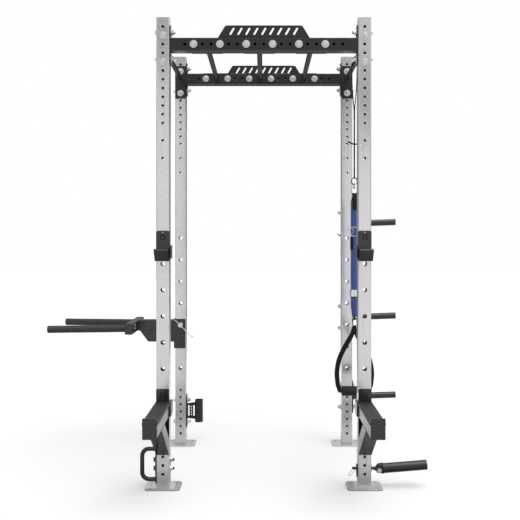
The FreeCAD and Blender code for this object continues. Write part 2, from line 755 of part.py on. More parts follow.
def spotter_arm(side_name, hand):
    """Mount plate, square arm, diagonal brace and end plate, welded, with a side wing."""
    x = f"{hand} * rack_half_x"
    front = -(GRIP + d.plate_thick)
    half = d.tube_width / 2
    middle_y = "-(rack_half_y + tube_width / 2 + slip_gap + plate_thick / 2)"
    corner = 4.0
    plate_outline = [(-half, d.arm_plate_low), (half, d.arm_plate_low),
                     (half, d.arm_plate_high, corner), (-half, d.arm_plate_high, corner)]
    marks = [(0, d.arm_pin_level, d.pin_radius + d.pin_gap), (0, d.arm_plate_high - 12, 2.5)]
    plate = cut(prism("XZ", [plate_outline], "plate_thick", x, middle_y, 0, marks),
                bevel_cone("pin_radius + pin_bevel", "pin_radius + pin_gap", x, "arm_pin_level"))
    arm_length = "arm_reach - (rack_half_y + tube_width / 2 + slip_gap + plate_thick)"
    arm_middle = "-(arm_reach + rack_half_y + tube_width / 2 + slip_gap + plate_thick) / 2"
    arm = prism("XZ", tube_section(), arm_length, x, arm_middle, "arm_low + tube_width / 2")
    end_middle = (d.arm_end_low + d.arm_end_high) / 2
    end = prism("XZ", [rectangle(d.tube_width, d.arm_end_high - d.arm_end_low, 5, 0, end_middle)],
                "plate_thick", x, "-(arm_reach + plate_thick / 2)", 0)
    angle = math.atan2(d.arm_low - d.arm_plate_low, d.brace_reach + front)
    top_z = d.arm_plate_low + d.tube_width / math.cos(angle)
    top_y = -d.brace_reach + d.tube_width / math.sin(angle)
    outer = [(front, d.arm_plate_low), (front, top_z), (top_y, d.arm_low), (-d.brace_reach, d.arm_low)]
    wall_z, wall_y = d.brace_wall / math.cos(angle), d.brace_wall / math.sin(angle)
    inner = [(front, d.arm_plate_low + wall_z), (front, top_z - wall_z), (top_y - wall_y, d.arm_low),
             (-d.brace_reach + wall_y, d.arm_low)]
    brace = cut(prism("YZ", [outer], "tube_width", x, 0, 0),
                prism("YZ", [inner], "tube_width - 2 * brace_wall", x, 0, 0))
    wing_back = -(FACE - d.arm_wing_depth)
    slant = 22.0
    wing_outline = [(front, d.arm_wing_low), (wing_back - slant, d.arm_wing_low, 6),
                    (wing_back, d.arm_wing_low + slant, 6), (wing_back, d.arm_wing_high, 6),
                    (front, d.arm_wing_high)]
    wing_x = f"{hand} * (rack_half_x - tube_width / 2 - slip_gap - arm_wing_thick / 2)"
    wing = prism("YZ", [wing_outline], "arm_wing_thick", wing_x, 0, 0)
    root_x = f"{hand} * (rack_half_x - tube_width / 2 + 1)"
    root = block(6, "plate_thick", "arm_wing_high - arm_wing_low", root_x, middle_y,
                 "(arm_wing_high + arm_wing_low) / 2")
    node(f"spotter_{side_name}_arm", fuse(plate, arm, end, brace, wing, root))
    # the liner is a shallow channel laid over the arm, held by one screw
    width = d.tube_width + 2 * d.arm_liner_over
    lap = 8.0
    high = d.arm_low + d.tube_width
    channel = [(-width / 2, high - lap), (-half, high - lap), (-half, high), (half, high),
               (half, high - lap), (width / 2, high - lap),
               (width / 2, high + d.arm_liner_thick, 3), (-width / 2, high + d.arm_liner_thick, 3)]
    channel_body = prism("XZ", [channel], arm_length, x, arm_middle, 0)
    screw_hole = rod("Z", "screw_radius", 20, x, arm_middle, "arm_low + tube_width + 10")
    node(f"spotter_{side_name}_liner", cut(channel_body, screw_hole))
    attachment_pin(f"spotter_{side_name}_pin", x, "arm_pin_level")


# ---------------------------------------------------------------------------
# Dip station on the left rear post
# ---------------------------------------------------------------------------


BAIL_LEAN = 45.0  # degrees that the bail's short end leans outwards from upright


def build_dip_station():
    front_face = INNER_Y - d.slip_gap
    plate_y = f"rack_half_y - tube_width / 2 - slip_gap - plate_thick / 2"
    middle = (d.dip_plate_low + d.dip_plate_high) / 2
    height = d.dip_plate_high - d.dip_plate_low
    side_x = "-(rack_half_x + tube_width / 2 + slip_gap + plate_thick / 2)"
    overlap = 4.0
    left = -(OUTER_X + d.slip_gap + d.plate_thick) + d.rack_half_x
    right = d.dip_plate_width / 2
    front_outline = rectangle(right - left, height, 4, (left + right) / 2)
    hole = [(0, d.dip_pin_level - middle, d.pin_radius + d.slip_gap)]
    front_plate = prism("XZ", [front_outline], "plate_thick", "-rack_half_x", plate_y,
                        "(dip_plate_low + dip_plate_high) / 2", hole)
    back_edge = FACE - overlap
    side_outline = [(front_face - d.plate_thick, d.dip_plate_low), (back_edge, d.dip_plate_low + 20, 6),
                    (back_edge, d.dip_plate_high, 6), (front_face - d.plate_thick, d.dip_plate_high)]
    side_plate = prism("YZ", [side_outline], "plate_thick", side_x, 0, 0)
    start = OUTER_X + d.slip_gap + d.plate_thick
    arm = prism("YZ", tube_section(), f"dip_arm_end - {start}", f"-(dip_arm_end + {start}) / 2",
                "rack_half_y", "dip_arm_low + tube_width / 2")
    bend = 20.0
    gusset_top = d.dip_arm_low + d.tube_corner + 2
    outer = [(-start, gusset_top), (-start, d.dip_gusset_low),
             (-d.dip_gusset_low_end, d.dip_gusset_low, bend), (-d.dip_gusset_top_end, d.dip_arm_low),
             (-d.dip_gusset_top_end, gusset_top)]
    wall = d.yoke_wall
    inner = [(-start, d.dip_arm_low), (-start, d.dip_gusset_low + wall),
             (-d.dip_gusset_low_end + wall / 2, d.dip_gusset_low + wall, bend - wall),
             (-d.dip_gusset_top_end + 1.5 * wall, d.dip_arm_low)]
    gusset = cut(prism("XZ", [outer], "gusset_width", 0, "rack_half_y", 0),
                 prism("XZ", [inner], "gusset_width - 2 * yoke_wall", 0, "rack_half_y", 0))
    node("dip_bracket", fuse(front_plate, side_plate, arm, gusset))
    yoke_x = "-(dip_arm_end + yoke_width / 2)"
    shell = prism("XZ", [rectangle(d.yoke_width, d.yoke_height, 5)], "yoke_length", yoke_x, "rack_half_y",
                  "yoke_low + yoke_height / 2")
    hollow = block("yoke_width - 2 * yoke_wall", "yoke_length - 2 * yoke_wall", "yoke_height - 2 * yoke_wall",
                   yoke_x, "rack_half_y", "yoke_low + yoke_height / 2")
    node("dip_yoke", cut(shell, hollow))
    for name, side in (("front", -1), ("rear", 1)):
        splay = side * d.handle_splay
        direction = Vector(-math.cos(math.radians(splay)), math.sin(math.radians(splay)), 0)
        bar = doc.addObject("Part::Cylinder", "Handle")
        bind(bar, Radius="handle_radius", Height="handle_length")
        trim = "handle_radius * sin(handle_splay)"
        place(bar, f"-(dip_arm_end + yoke_width) + {trim}", f"rack_half_y + {side} * handle_spacing",
              "handle_level", FreeCAD.Rotation(Vector(0, 0, 1), direction))
        doc.recompute()
        far = max(range(len(bar.Shape.Edges)),
                  key=lambda i: -bar.Shape.Edges[i].BoundBox.XMin - 1e3 * (not bar.Shape.Edges[i].isClosed()))
        rounded = doc.addObject("Part::Fillet", "HandleEnd")
        rounded.Base = bar
        rounded.Edges = [(far + 1, d.handle_round, d.handle_round)]
        yoke_space = block("yoke_width", "yoke_length", "yoke_height", yoke_x, "rack_half_y",
                           "yoke_low + yoke_height / 2")
        hollow = doc.addObject("Part::Cylinder", "HandleBore")
        bind(hollow, Radius="handle_radius - yoke_wall", Height="handle_length - 2 * yoke_wall")
        place(hollow, "-(dip_arm_end + yoke_width)", f"rack_half_y + {side} * handle_spacing",
              "handle_level", bar.Placement.Rotation)
        node(f"dip_handle_{name}", cut(rounded, yoke_space, hollow))
    # lock pin: shank through the plate and post, collar, knob and a rivet for the bail
    shank_length, collar_length, knob_length, hub_length = 92.0, 6.0, 12.0, 6.0
    hub_gap = 0.3
    plate_front = front_face - d.plate_thick
    collar_front = plate_front - 0.4 - collar_length
    knob_front = collar_front - knob_length
    hub_middle = knob_front - hub_gap - hub_length / 2
    rivet_front = hub_middle - hub_length / 2 - hub_gap
    rivet_head = 3.0
    pin_x, pin_z = "-rack_half_x", "dip_pin_level"
    shank = rod("Y", "pin_radius", shank_length, pin_x, plate_front + shank_length / 2 - 1, pin_z)
    collar = rod("Y", 18, collar_length, pin_x, collar_front + collar_length / 2, pin_z)
    knob = rod("Y", 11, knob_length + 2, pin_x, knob_front + knob_length / 2 + 1, pin_z)
    rivet_bite = 4.0
    rivet_length = knob_front - rivet_front + rivet_bite
    rivet = rod("Y", "rivet_radius", rivet_length, pin_x, rivet_front + rivet_length / 2, pin_z)
    head = rod("Y", "2 * rivet_radius", rivet_head, pin_x, rivet_front - rivet_head / 2, pin_z)
    node("dip_lock_pin", fuse(shank, collar, knob, rivet, head))
    # the bail is a wire lever on the rivet, with an arm that reaches back past the post
    short_end, long_end, arm_back, wire_bend = 53.0, 116.0, 85.0, 9.0
    path = [(0, short_end), (0, -long_end, wire_bend), (arm_back, -long_end)]
    wire = bent_rod("YZ", path, "bail_wire", 0, 0, 0)
    hub = rod("Y", 9, hub_length, 0, 0, 0)
    rivet_hole = rod("Y", "rivet_radius + 0.3", 4 * hub_length, 0, 0, 0)
    bail = cut(fuse(wire, hub), rivet_hole)
    bail.Placement = FreeCAD.Placement(Vector(-d.rack_half_x, hub_middle, d.dip_pin_level),
                                       FreeCAD.Rotation(Vector(0, 1, 0), -BAIL_LEAN))
    node("dip_pin_bail", bail)


def tilted(obj):
    """Turn an object about the pivot bolt by the sleeve's resting angle."""
    centre = Vector(d.pivot_x, -d.rack_half_y, d.pivot_level)
    turn = FreeCAD.Placement(Vector(0, 0, 0), FreeCAD.Rotation(Vector(0, 1, 0), -d.sleeve_tilt), centre)
    obj.Placement = turn.multiply(obj.Placement)
    return obj


def fixed_rod(axis, radius, length, x, y, z):
    """A round bar with a plain placement, so that it can be turned afterwards."""
    bar = doc.addObject("Part::Cylinder", "Rod")
    bind(bar, Radius=radius)
    bar.Height = length
    spots = {"X": x, "Y": y, "Z": z}
    spots[axis] -= length / 2
    bar.Placement = FreeCAD.Placement(Vector(spots["X"], spots["Y"], spots["Z"]), TURN[axis])
    return bar


RING_YAW = -35.0  # degrees that the lock ring is turned from square to the shank
RING_LEAN = 30.0  # degrees that the ring leans away from the post


def build_bar_pivot():
    y, z, bolt_z = "-rack_half_y", "side_hole_level", "pivot_level"
    tongue_root = d.pivot_x - d.tongue_length
    shank_end = INNER_X - d.shank_tail
    shank = rod("X", "shank_radius", tongue_root - shank_end, (tongue_root + shank_end) / 2, y, z)
    disc_thick, tongue_bite, ring_inset = 5.0, 3.0, 11.6
    disc = rod("X", 18.5, disc_thick, OUTER_X + d.slip_gap + disc_thick / 2, y, z)
    root_x = tongue_root - tongue_bite
    root_half = d.shank_radius + 0.6
    tongue_outline = [(root_x, d.side_hole_level - root_half),
                      (d.pivot_x, d.pivot_level - d.tongue_radius),
                      (d.pivot_x, d.pivot_level + d.tongue_radius),
                      (root_x, d.side_hole_level + root_half)]
    tongue = prism("XZ", [tongue_outline], "tongue_thick", 0, y, 0)
    tongue_end = rod("Y", "tongue_radius", "tongue_thick", d.pivot_x, y, bolt_z)
    fork_width = d.tongue_thick + 2 * d.ear_thick + 1.0
    bolt_hole = rod("Y", "pivot_bolt + pin_gap", fork_width * 2, d.pivot_x, y, bolt_z)
    ring_x = shank_end + ring_inset
    ring_top = Vector(ring_x, -d.rack_half_y, d.side_hole_level)
    yaw = FreeCAD.Rotation(Vector(0, 0, 1), RING_YAW)
    ring_hole = fixed_rod("Y", "ring_hole", 60, ring_x, -d.rack_half_y, d.side_hole_level)
    spin = FreeCAD.Placement(Vector(0, 0, 0), yaw, ring_top)
    ring_hole.Placement = spin.multiply(ring_hole.Placement)
    node("pivot_shank", cut(fuse(shank, disc, tongue, tongue_end), bolt_hole, ring_hole))
    bolt_length = fork_width + 14.0
    bolt = rod("Y", "pivot_bolt", bolt_length, d.pivot_x, y, bolt_z)
    head_front = rod("Y", 13, 8, d.pivot_x, f"-rack_half_y - {fork_width / 2} - 4", bolt_z)
    nut_back = rod("Y", 12, 8, d.pivot_x, f"-rack_half_y + {fork_width / 2} + 4", bolt_z)
    node("pivot_bolt_and_nut", fuse(bolt, head_front, nut_back))
    # sleeve: tube with a closed back, a thin rim and two ears that straddle the tongue
    back = d.pivot_x + d.sleeve_start
    back_thick = 8.0
    level, depth = d.pivot_level + d.sleeve_raise, -d.rack_half_y
    outer = fixed_rod("X", "sleeve_radius", d.sleeve_length, back + d.sleeve_length / 2, depth, level)
    rim = fixed_rod("X", "rim_radius", d.rim_thick, back + d.rim_thick / 2, depth, level)
    bore_middle = back + back_thick + d.sleeve_length / 2
    bore = fixed_rod("X", "sleeve_bore", d.sleeve_length, bore_middle, depth, level)
    nose, root = -17.0, d.sleeve_start + 1.5
    ear_outline = [(nose, -14, 10), (root, -20), (root, 33), (-1, 33, 4), (nose, 18, 4)]
    ear_turn = FreeCAD.Rotation(Vector(0, 1, 0), -d.sleeve_tilt)
    ears = []
    for side in (-1, 1):
        ear_y = f"-rack_half_y + {side} * (tongue_thick / 2 + 0.5 + ear_thick / 2)"
        ears.append(prism("XZ", [ear_outline], "ear_thick", "pivot_x", ear_y, "pivot_level",
                          rotation=ear_turn))
    hole = fixed_rod("Y", "pivot_bolt + pin_gap", fork_width * 2, d.pivot_x, depth, d.pivot_level)
    shell = cut(fuse(tilted(outer), tilted(rim), *ears), tilted(bore), hole)
    node("pivot_sleeve", shell)
    # lock plate and ring on the inner side keep the shank in the post
    collar_x = INNER_X - d.slip_gap - d.collar_length / 2
    collar = rod("X", "collar_radius", "collar_length", collar_x, y, "side_hole_level - collar_drop")
    collar_bore = rod("X", "shank_radius + 0.1", "collar_length * 2", collar_x, y, z)
    node("pivot_collar", cut(collar, collar_bore))
    ring = doc.addObject("Part::Torus", "LockRing")
    bind(ring, Radius1="ring_radius", Radius2="ring_wire")
    upright = yaw.multiply(FreeCAD.Rotation(Vector(0, 1, 0), 90))
    lean = FreeCAD.Rotation(yaw.multVec(Vector(0, 1, 0)), RING_LEAN)
    hang = FreeCAD.Placement(Vector(0, 0, -d.ring_radius), upright)
    ring.Placement = FreeCAD.Placement(ring_top, lean).multiply(hang)
    node("pivot_lock_ring", ring)


# ---------------------------------------------------------------------------
# Suspended elastic trainer under the right side bar
# ---------------------------------------------------------------------------


def link(x, y, z, half_width, height, wire):
    """An oval carabiner in the XZ plane, its lowest point at z."""
    r, bend = half_width, half_width * 0.98
    path = [(0, 0), (r, 0, bend), (r, height, bend), (-r, height, bend), (-r, 0, bend), (0, 0)]
    return bent_rod("XZ", path, wire, x, y, z)


def build_trainer():
    x = "rack_half_x"
    half_web = d.web_thick
    inner_ring = d.bar_radius + 0.4
    outer_ring = inner_ring + d.web_thick
    bar_z, merge, split, end = d.side_bar_level, d.strap_merge, d.strap_split, d.strap_end
    eye = 17.0
    outer = [(-outer_ring, bar_z), (-half_web, merge), (-half_web, split), (-eye - half_web, split - 28, 10),
             (-eye, end, 14), (eye, end, 14), (eye + half_web, split - 28, 10), (half_web, split),
             (half_web, merge), (outer_ring, bar_z), (outer_ring, bar_z + outer_ring, outer_ring * 0.98),
             (-outer_ring, bar_z + outer_ring, outer_ring * 0.98)]
    inner = [(-inner_ring, bar_z), (-0.2, merge + 25), (0.2, merge + 25), (inner_ring, bar_z),
             (inner_ring, bar_z + inner_ring, inner_ring * 0.98),
             (-inner_ring, bar_z + inner_ring, inner_ring * 0.98)]
    eye_hole = [(0, split - 6), (-eye + 0.4, split - 29, 8), (-eye + 3, end + half_web, 11),
                (eye - 3, end + half_web, 11), (eye - 0.4, split - 29, 8)]
    node("anchor_strap", prism("XZ", [outer, inner, eye_hole], "web_width", x, 0, 0))
    # keeper: a short curved loop of webbing round the strap
    keeper_half, keeper_thick, sag = 47.0, 9.0, 17.0
    bow = [(-keeper_half, sag), (0, -sag, 60), (keeper_half, sag), (keeper_half, sag + keeper_thick),
           (0, -sag + keeper_thick * 1.15, 54), (-keeper_half, sag + keeper_thick)]
    band = prism("XZ", [bow], 20, x, f"-(web_width / 2 + 10 + 0.2)", "keeper_level + 8")
    node("strap_keeper", band)
    # hardware between strap and elastic
    bar_top, bar_low = end + d.web_thick + d.ring_bar + 1.0, d.upper_link_level - 9.0
    ring_path = [(0, bar_top), (-31, bar_top, 9), (-13, bar_low, 9), (13, bar_low, 9),
                 (31, bar_top, 9), (0, bar_top)]
    node("upper_ring", bent_rod("YZ", ring_path, "ring_bar", x, 0, 0))
    link_height = d.upper_link_level - d.core_eye_level
    node("upper_carabiner", link(x, 0, d.core_eye_level, 20, link_height, "carabiner_wire"))
    # sewn tab: a webbing hood over the sleeve's top, inside the carabiner
    tab_low, tab_high, tab_half, tab_thick = 1631.0, 1743.0, 16.0, 3.5
    tab_in = d.sleeve_fabric + 0.2
    tab_out = tab_in + tab_thick
    hood = [(-tab_out, tab_low), (-tab_in, tab_low), (-tab_in, 1705), (-6, tab_high - tab_thick, 4),
            (6, tab_high - tab_thick, 4), (tab_in, 1705), (tab_in, tab_low), (tab_out, tab_low),
            (tab_out, 1707), (7, tab_high, 5), (-7, tab_high, 5), (-tab_out, 1707)]
    node("sleeve_tab", prism("YZ", [hood], 2 * tab_half, x, 0, 0))
    # sleeve: a gathered fabric tube that narrows at its lower end
    length = "fabric_top - fabric_taper"
    middle = "(fabric_top + fabric_taper) / 2"

    def tapered(grow):
        cone = doc.addObject("Part::Cone", "Taper")
        bind(cone, Radius1=f"fabric_mouth - {grow}", Radius2=f"sleeve_fabric - {grow}",
             Height="fabric_taper - fabric_low")
        place(cone, x, 0, "fabric_low")
        return cone

    wall = d.sleeve_fabric - d.sleeve_lining
    outer_shell = fuse(rod("Z", "sleeve_fabric", length, x, 0, middle), tapered(0))
    lining = fuse(rod("Z", "sleeve_lining", length, x, 0, middle), tapered(wall * 0.9))
    lid = rod("Z", "sleeve_fabric", 6, x, 0, "fabric_top - 3")
    node("bungee_sleeve", fuse(cut(outer_shell, lining), lid))
    # elastic core with an eye at its lower end
    core_low = "(lower_eye_level + core_eye_radius - 1)"
    core = rod("Z", "elastic_radius", f"core_top - {core_low}", x, 0, f"(core_top + {core_low}) / 2")

    def eye(level):
        torus = doc.addObject("Part::Torus", "Eye")
        bind(torus, Radius1="core_eye_radius", Radius2="core_eye_wire")
        place(torus, x, 0, level, FreeCAD.Rotation(Vector(0, 1, 0), 90))
        return torus

    node("bungee_core", fuse(core, eye("lower_eye_level")))
    slider_middle = (d.slider_low + d.slider_high) / 2
    band_outer = rod("Z", "sleeve_fabric + 4", "slider_high - slider_low", x, 0, slider_middle)
    band_inner = rod("Z", "sleeve_fabric + 0.2", "slider_high - slider_low + 10", x, 0, slider_middle)
    node("sleeve_clamp", cut(band_outer, band_inner))
    rings = [eye("core_eye_level")]
    for radius, level, shift, ahead in ((21.0, 1498.0, -30.0, 3.0), (30.0, 1494.0, -8.0, 7.5)):
        wire_ring = doc.addObject("Part::Torus", "WireRing")
        bind(wire_ring, Radius1=radius, Radius2="ring_wire")
        place(wire_ring, f"rack_half_x + {shift}", f"-(sleeve_fabric + {ahead})", level,
              FreeCAD.Rotation(Vector(1, 0, 0), 90))
        rings.append(wire_ring)
    node("sleeve_rings", group(rings))
    wire_level = d.sling_level + 2.0
    node("lower_carabiner", link(x, 0, wire_level, 18, d.lower_eye_level - wire_level, "carabiner_wire"))
    build_sling(x, wire_level)


def build_sling(x, wire_level):
    """A webbing loop with padded sides that holds the foam roller."""
    collar_half, loop_half = 20.5, 10.0
    top, shoulder, roller = wire_level + 14.5, wire_level - 8.0, d.roller_level
    reach = d.roller_length / 2 + 12
    outer = [(-loop_half, top), (loop_half, top), (loop_half, shoulder + 4), (collar_half, shoulder - 4, 5),
             (collar_half, 800, 30), (118, 680, 90), (128, 540, 70),
             (reach + 12, roller - 24, 20), (reach - 8, roller - 24), (reach - 8, roller + 24),
             (92, 560, 60), (78, 668, 80), (6, 792), (-6, 792), (-78, 668, 80), (-92, 560, 60),
             (-reach + 8, roller + 24), (-reach + 8, roller - 24), (-reach - 12, roller - 24, 20),
             (-128, 540, 70), (-118, 680, 90), (-collar_half, 800, 30),
             (-collar_half, shoulder - 4, 5), (-loop_half, shoulder + 4)]
    wire_slot = block("4 * roller_bore", 9, 15, x, 0, wire_level + 3)
    side_straps = cut(prism("XZ", [outer], "sling_depth", x, 0, 0), wire_slot)
    rod_length = 2 * reach - 10
    node("sling_straps", fuse(side_straps, rod("X", "roller_rod", rod_length, x, 0, "roller_level")))
    foam = rod("X", "roller_radius", "roller_length", x, 0, "roller_level")
    foam_bore = rod("X", "roller_bore", "roller_length * 1.2", x, 0, "roller_level")
    node("foam_roller", cut(foam, foam_bore))


# ---------------------------------------------------------------------------
# Build, check and write
# ---------------------------------------------------------------------------

build_posts()
build_feet_and_caps()
build_beams()
build_signs()
build_side_bars()
build_pull_up_bars()
build_pegs()
build_bar_holder()
build_tie_down()
for side_name, hand in (("left", -1), ("right", 1)):
    bar_hook(side_name, hand)
    spotter_arm(side_name, hand)
build_dip_station()
build_bar_pivot()
build_trainer()
build_fasteners()
doc.recompute()

for obj in doc.Objects:
    if "Invalid" in obj.State or "Error" in obj.State:
        raise RuntimeError(f"{obj.Name} ({obj.Label}) failed: {obj.State}")
os.makedirs("parts", exist_ok=True)
for label, obj in nodes.items():
    if obj.Shape.isNull() or not obj.Shape.isValid():
        raise RuntimeError(f"{label} has no valid shape")
    if not obj.Shape.Solids:
        raise RuntimeError(f"{label} has no solid")
for label, obj in nodes.items():
    obj.Shape.exportStep(f"parts/{label}.step")
print(len(nodes), "nodes written")
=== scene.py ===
import json
import math
import bmesh
import bpy
import numpy as np
from mathutils import Matrix, Vector


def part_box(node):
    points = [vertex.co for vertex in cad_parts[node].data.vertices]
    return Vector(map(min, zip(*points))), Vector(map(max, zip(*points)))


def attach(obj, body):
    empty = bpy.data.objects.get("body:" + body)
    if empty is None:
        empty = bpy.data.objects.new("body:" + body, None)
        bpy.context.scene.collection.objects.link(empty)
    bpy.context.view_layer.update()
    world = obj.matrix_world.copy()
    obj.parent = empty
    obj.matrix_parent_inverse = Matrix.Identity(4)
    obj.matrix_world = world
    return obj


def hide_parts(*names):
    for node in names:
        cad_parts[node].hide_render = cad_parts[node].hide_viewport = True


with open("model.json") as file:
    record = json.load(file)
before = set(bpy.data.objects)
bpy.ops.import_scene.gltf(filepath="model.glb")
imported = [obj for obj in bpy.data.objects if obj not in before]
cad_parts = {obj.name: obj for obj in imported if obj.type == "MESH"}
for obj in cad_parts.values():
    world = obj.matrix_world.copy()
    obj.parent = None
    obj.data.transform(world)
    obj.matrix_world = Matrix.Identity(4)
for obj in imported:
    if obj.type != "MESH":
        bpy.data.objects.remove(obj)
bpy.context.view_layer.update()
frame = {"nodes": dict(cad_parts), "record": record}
nodes = frame["nodes"]
MM = 0.001

# ---------------------------------------------------------------------------
# Materials
# ---------------------------------------------------------------------------


class Paint:
    """A node material: a Principled shader and helpers that add texture nodes."""

    def __init__(self, name, colour, metallic, roughness):
        self.material = bpy.data.materials.new(name)
        self.material.use_nodes = True
        self.tree = self.material.node_tree
        self.shader = self.tree.nodes["Principled BSDF"]
        self.shader.inputs["Base Color"].default_value = (*colour, 1)
        self.shader.inputs["Metallic"].default_value = metallic
        self.shader.inputs["Roughness"].default_value = roughness
        self.coordinates = self.tree.nodes.new("ShaderNodeTexCoord")

    def link(self, source, target):
        self.tree.links.new(source, target)

    def add(self, kind, **values):
        node = self.tree.nodes.new(kind)
        for name, value in values.items():
            if name in node.inputs:
                node.inputs[name].default_value = value
            else:
                setattr(node, name, value)
        return node

    def noise(self, scale, detail=3.0, rough=0.5, stretch=None, space="Object"):
        """Noise in object space (or along the mesh's own UV), optionally stretched along the axes."""
        node = self.add("ShaderNodeTexNoise", Scale=scale, Detail=detail, Roughness=rough)
        self.link(self.position(stretch, space), node.inputs["Vector"])
        return node.outputs["Fac"]

    def cells(self, scale, stretch=None, space="Object"):
        node = self.add("ShaderNodeTexVoronoi", Scale=scale)
        self.link(self.position(stretch, space), node.inputs["Vector"])
        return node.outputs

    def waves(self, scale, axis, distortion=0.0, space="Object"):
        node = self.add("ShaderNodeTexWave", Scale=scale, Distortion=distortion)
        node.bands_direction = axis
        self.link(self.coordinates.outputs[space], node.inputs["Vector"])
        return node.outputs["Fac"]

    def position(self, stretch, space):
        source = self.coordinates.outputs[space]
        if stretch is None:
            return source
        mapping = self.add("ShaderNodeMapping", Scale=stretch)
        self.link(source, mapping.inputs["Vector"])
        return mapping.outputs["Vector"]

    def math(self, operation, a, b):
        node = self.tree.nodes.new("ShaderNodeMath")
        node.operation = operation
        for socket, value in zip(node.inputs, (a, b)):
            if isinstance(value, (int, float)):
                socket.default_value = value
            else:
                self.link(value, socket)
        return node.outputs[0]

    def span(self, source, low, high, source_low=0.0, source_high=1.0):
        node = self.add("ShaderNodeMapRange")
        ends = (("From Min", source_low), ("From Max", source_high), ("To Min", low), ("To Max", high))
        for name, value in ends:
            node.inputs[name].default_value = value
        self.link(source, node.inputs["Value"])
        return node.outputs["Result"]

    def blend(self, factor, first, second):
        """Mix two colours by a factor; a colour is a tuple or a socket."""
        node = self.tree.nodes.new("ShaderNodeMix")
        node.data_type = "RGBA"
        self.link(factor, node.inputs["Factor"])
        for name, value in (("A", first), ("B", second)):
            socket = [s for s in node.inputs if s.name == name and s.type == "RGBA"][0]
            if isinstance(value, tuple):
                socket.default_value = (*value, 1)
            else:
                self.link(value, socket)
        return [s for s in node.outputs if s.type == "RGBA"][0]

    def colour(self, socket):
        self.link(socket, self.shader.inputs["Base Color"])

    def roughness(self, socket):
        self.link(socket, self.shader.inputs["Roughness"])

    def relief(self, height, distance, strength=1.0):
        """Bump from a height; calls stack up."""
        bump = self.add("ShaderNodeBump", Distance=distance, Strength=strength)
        self.link(height, bump.inputs["Height"])
        normal = self.shader.inputs["Normal"]
        if normal.is_linked:
            self.link(normal.links[0].from_socket, bump.inputs["Normal"])
        self.link(bump.outputs["Normal"], normal)


def silver_coat():
    """Silver powder coat: fine metal flake, faint mottling, orange peel."""
    paint = Paint("silver_coat", (0.62, 0.62, 0.62), 0.7, 0.16)
    flake = paint.cells(900)["Color"]
    grey = paint.add("ShaderNodeRGBToBW")
    paint.link(flake, grey.inputs[0])
    base = paint.blend(paint.noise(14, 4), (0.60, 0.60, 0.60), (0.66, 0.66, 0.655))
    sparkle = paint.span(grey.outputs[0], 0.0, 0.22, 0.45, 1.0)
    paint.colour(paint.blend(sparkle, base, (0.80, 0.80, 0.80)))
    paint.roughness(paint.span(paint.noise(60, 3), 0.14, 0.18))
    paint.relief(paint.noise(500, 2), 0.00002, 0.03)
    return paint.material


def black_coat():
    """Glossy black powder coat: orange peel, faint dust and slightly rubbed patches."""
    paint = Paint("black_coat", (0.012, 0.012, 0.012), 0.0, 0.34)
    paint.shader.inputs["Specular IOR Level"].default_value = 0.62
    paint.colour(paint.blend(paint.noise(9, 5, 0.6), (0.005, 0.005, 0.0052), (0.011, 0.011, 0.0114)))
    paint.roughness(paint.span(paint.noise(35, 4), 0.17, 0.25))
    paint.relief(paint.noise(420, 2), 0.00002, 0.05)
    return paint.material


def zinc():
    """Bright zinc plate with a faint bluish mottle and turning marks."""
    paint = Paint("zinc", (0.66, 0.67, 0.70), 1.0, 0.28)
    paint.colour(paint.blend(paint.noise(160, 4), (0.56, 0.57, 0.61), (0.76, 0.765, 0.79)))
    paint.roughness(paint.span(paint.noise(420, 3), 0.20, 0.38))
    paint.relief(paint.noise(900, 2), 0.00004, 0.4)
    return paint.material


def polished_steel():
    paint = Paint("polished_steel", (0.72, 0.73, 0.75), 1.0, 0.16)
    paint.roughness(paint.span(paint.noise(300, 3, stretch=(1, 1, 6)), 0.10, 0.24))
    paint.colour(paint.blend(paint.noise(50, 3), (0.66, 0.67, 0.70), (0.78, 0.79, 0.80)))
    return paint.material


def liner_plastic():
    """Dense black wear plastic with milling lines and light scuffs."""
    paint = Paint("liner_plastic", (0.02, 0.02, 0.02), 0.0, 0.55)
    scuff = paint.span(paint.noise(45, 6, 0.7, stretch=(1, 0.15, 1)), 0.0, 1.0, 0.52, 0.75)
    paint.colour(paint.blend(scuff, (0.016, 0.016, 0.017), (0.034, 0.034, 0.035)))
    paint.roughness(paint.span(paint.noise(120, 3), 0.45, 0.65))
    paint.relief(paint.noise(600, 3, stretch=(1, 0.2, 1)), 0.00008, 0.5)
    return paint.material


def grip_coat():
    """Textured black grip: a fine pebble with a slight rubbery sheen."""
    paint = Paint("grip_coat", (0.018, 0.018, 0.018), 0.0, 0.5)
    pebble = paint.cells(420)["Distance"]
    paint.colour(paint.blend(paint.noise(20, 4), (0.014, 0.014, 0.014), (0.026, 0.026, 0.026)))
    paint.roughness(paint.span(paint.noise(80, 3), 0.42, 0.6))
    paint.relief(pebble, 0.00025, 0.5)
    return paint.material


def weave(name, dark, light, thread, sheen):
    """Plain weave from two crossed waves on the mesh's own UV, which is laid out in metres."""
    paint = Paint(name, light, 0.0, 0.8)
    across = paint.waves(thread, "X", 0.4, "UV")
    along = paint.waves(thread, "Y", 0.4, "UV")
    cross = paint.math("MULTIPLY", across, along)
    worn = paint.noise(30, 4)
    tone = paint.math("MULTIPLY", paint.span(cross, 0.45, 1.0), paint.span(worn, 0.6, 1.15))
    paint.colour(paint.blend(tone, dark, light))
    paint.roughness(paint.span(cross, 0.9, 0.72))
    paint.relief(cross, 0.0004, 0.7)
    paint.shader.inputs["Sheen Weight"].default_value = sheen
    paint.shader.inputs["Specular IOR Level"].default_value = 0.25
    return paint.material


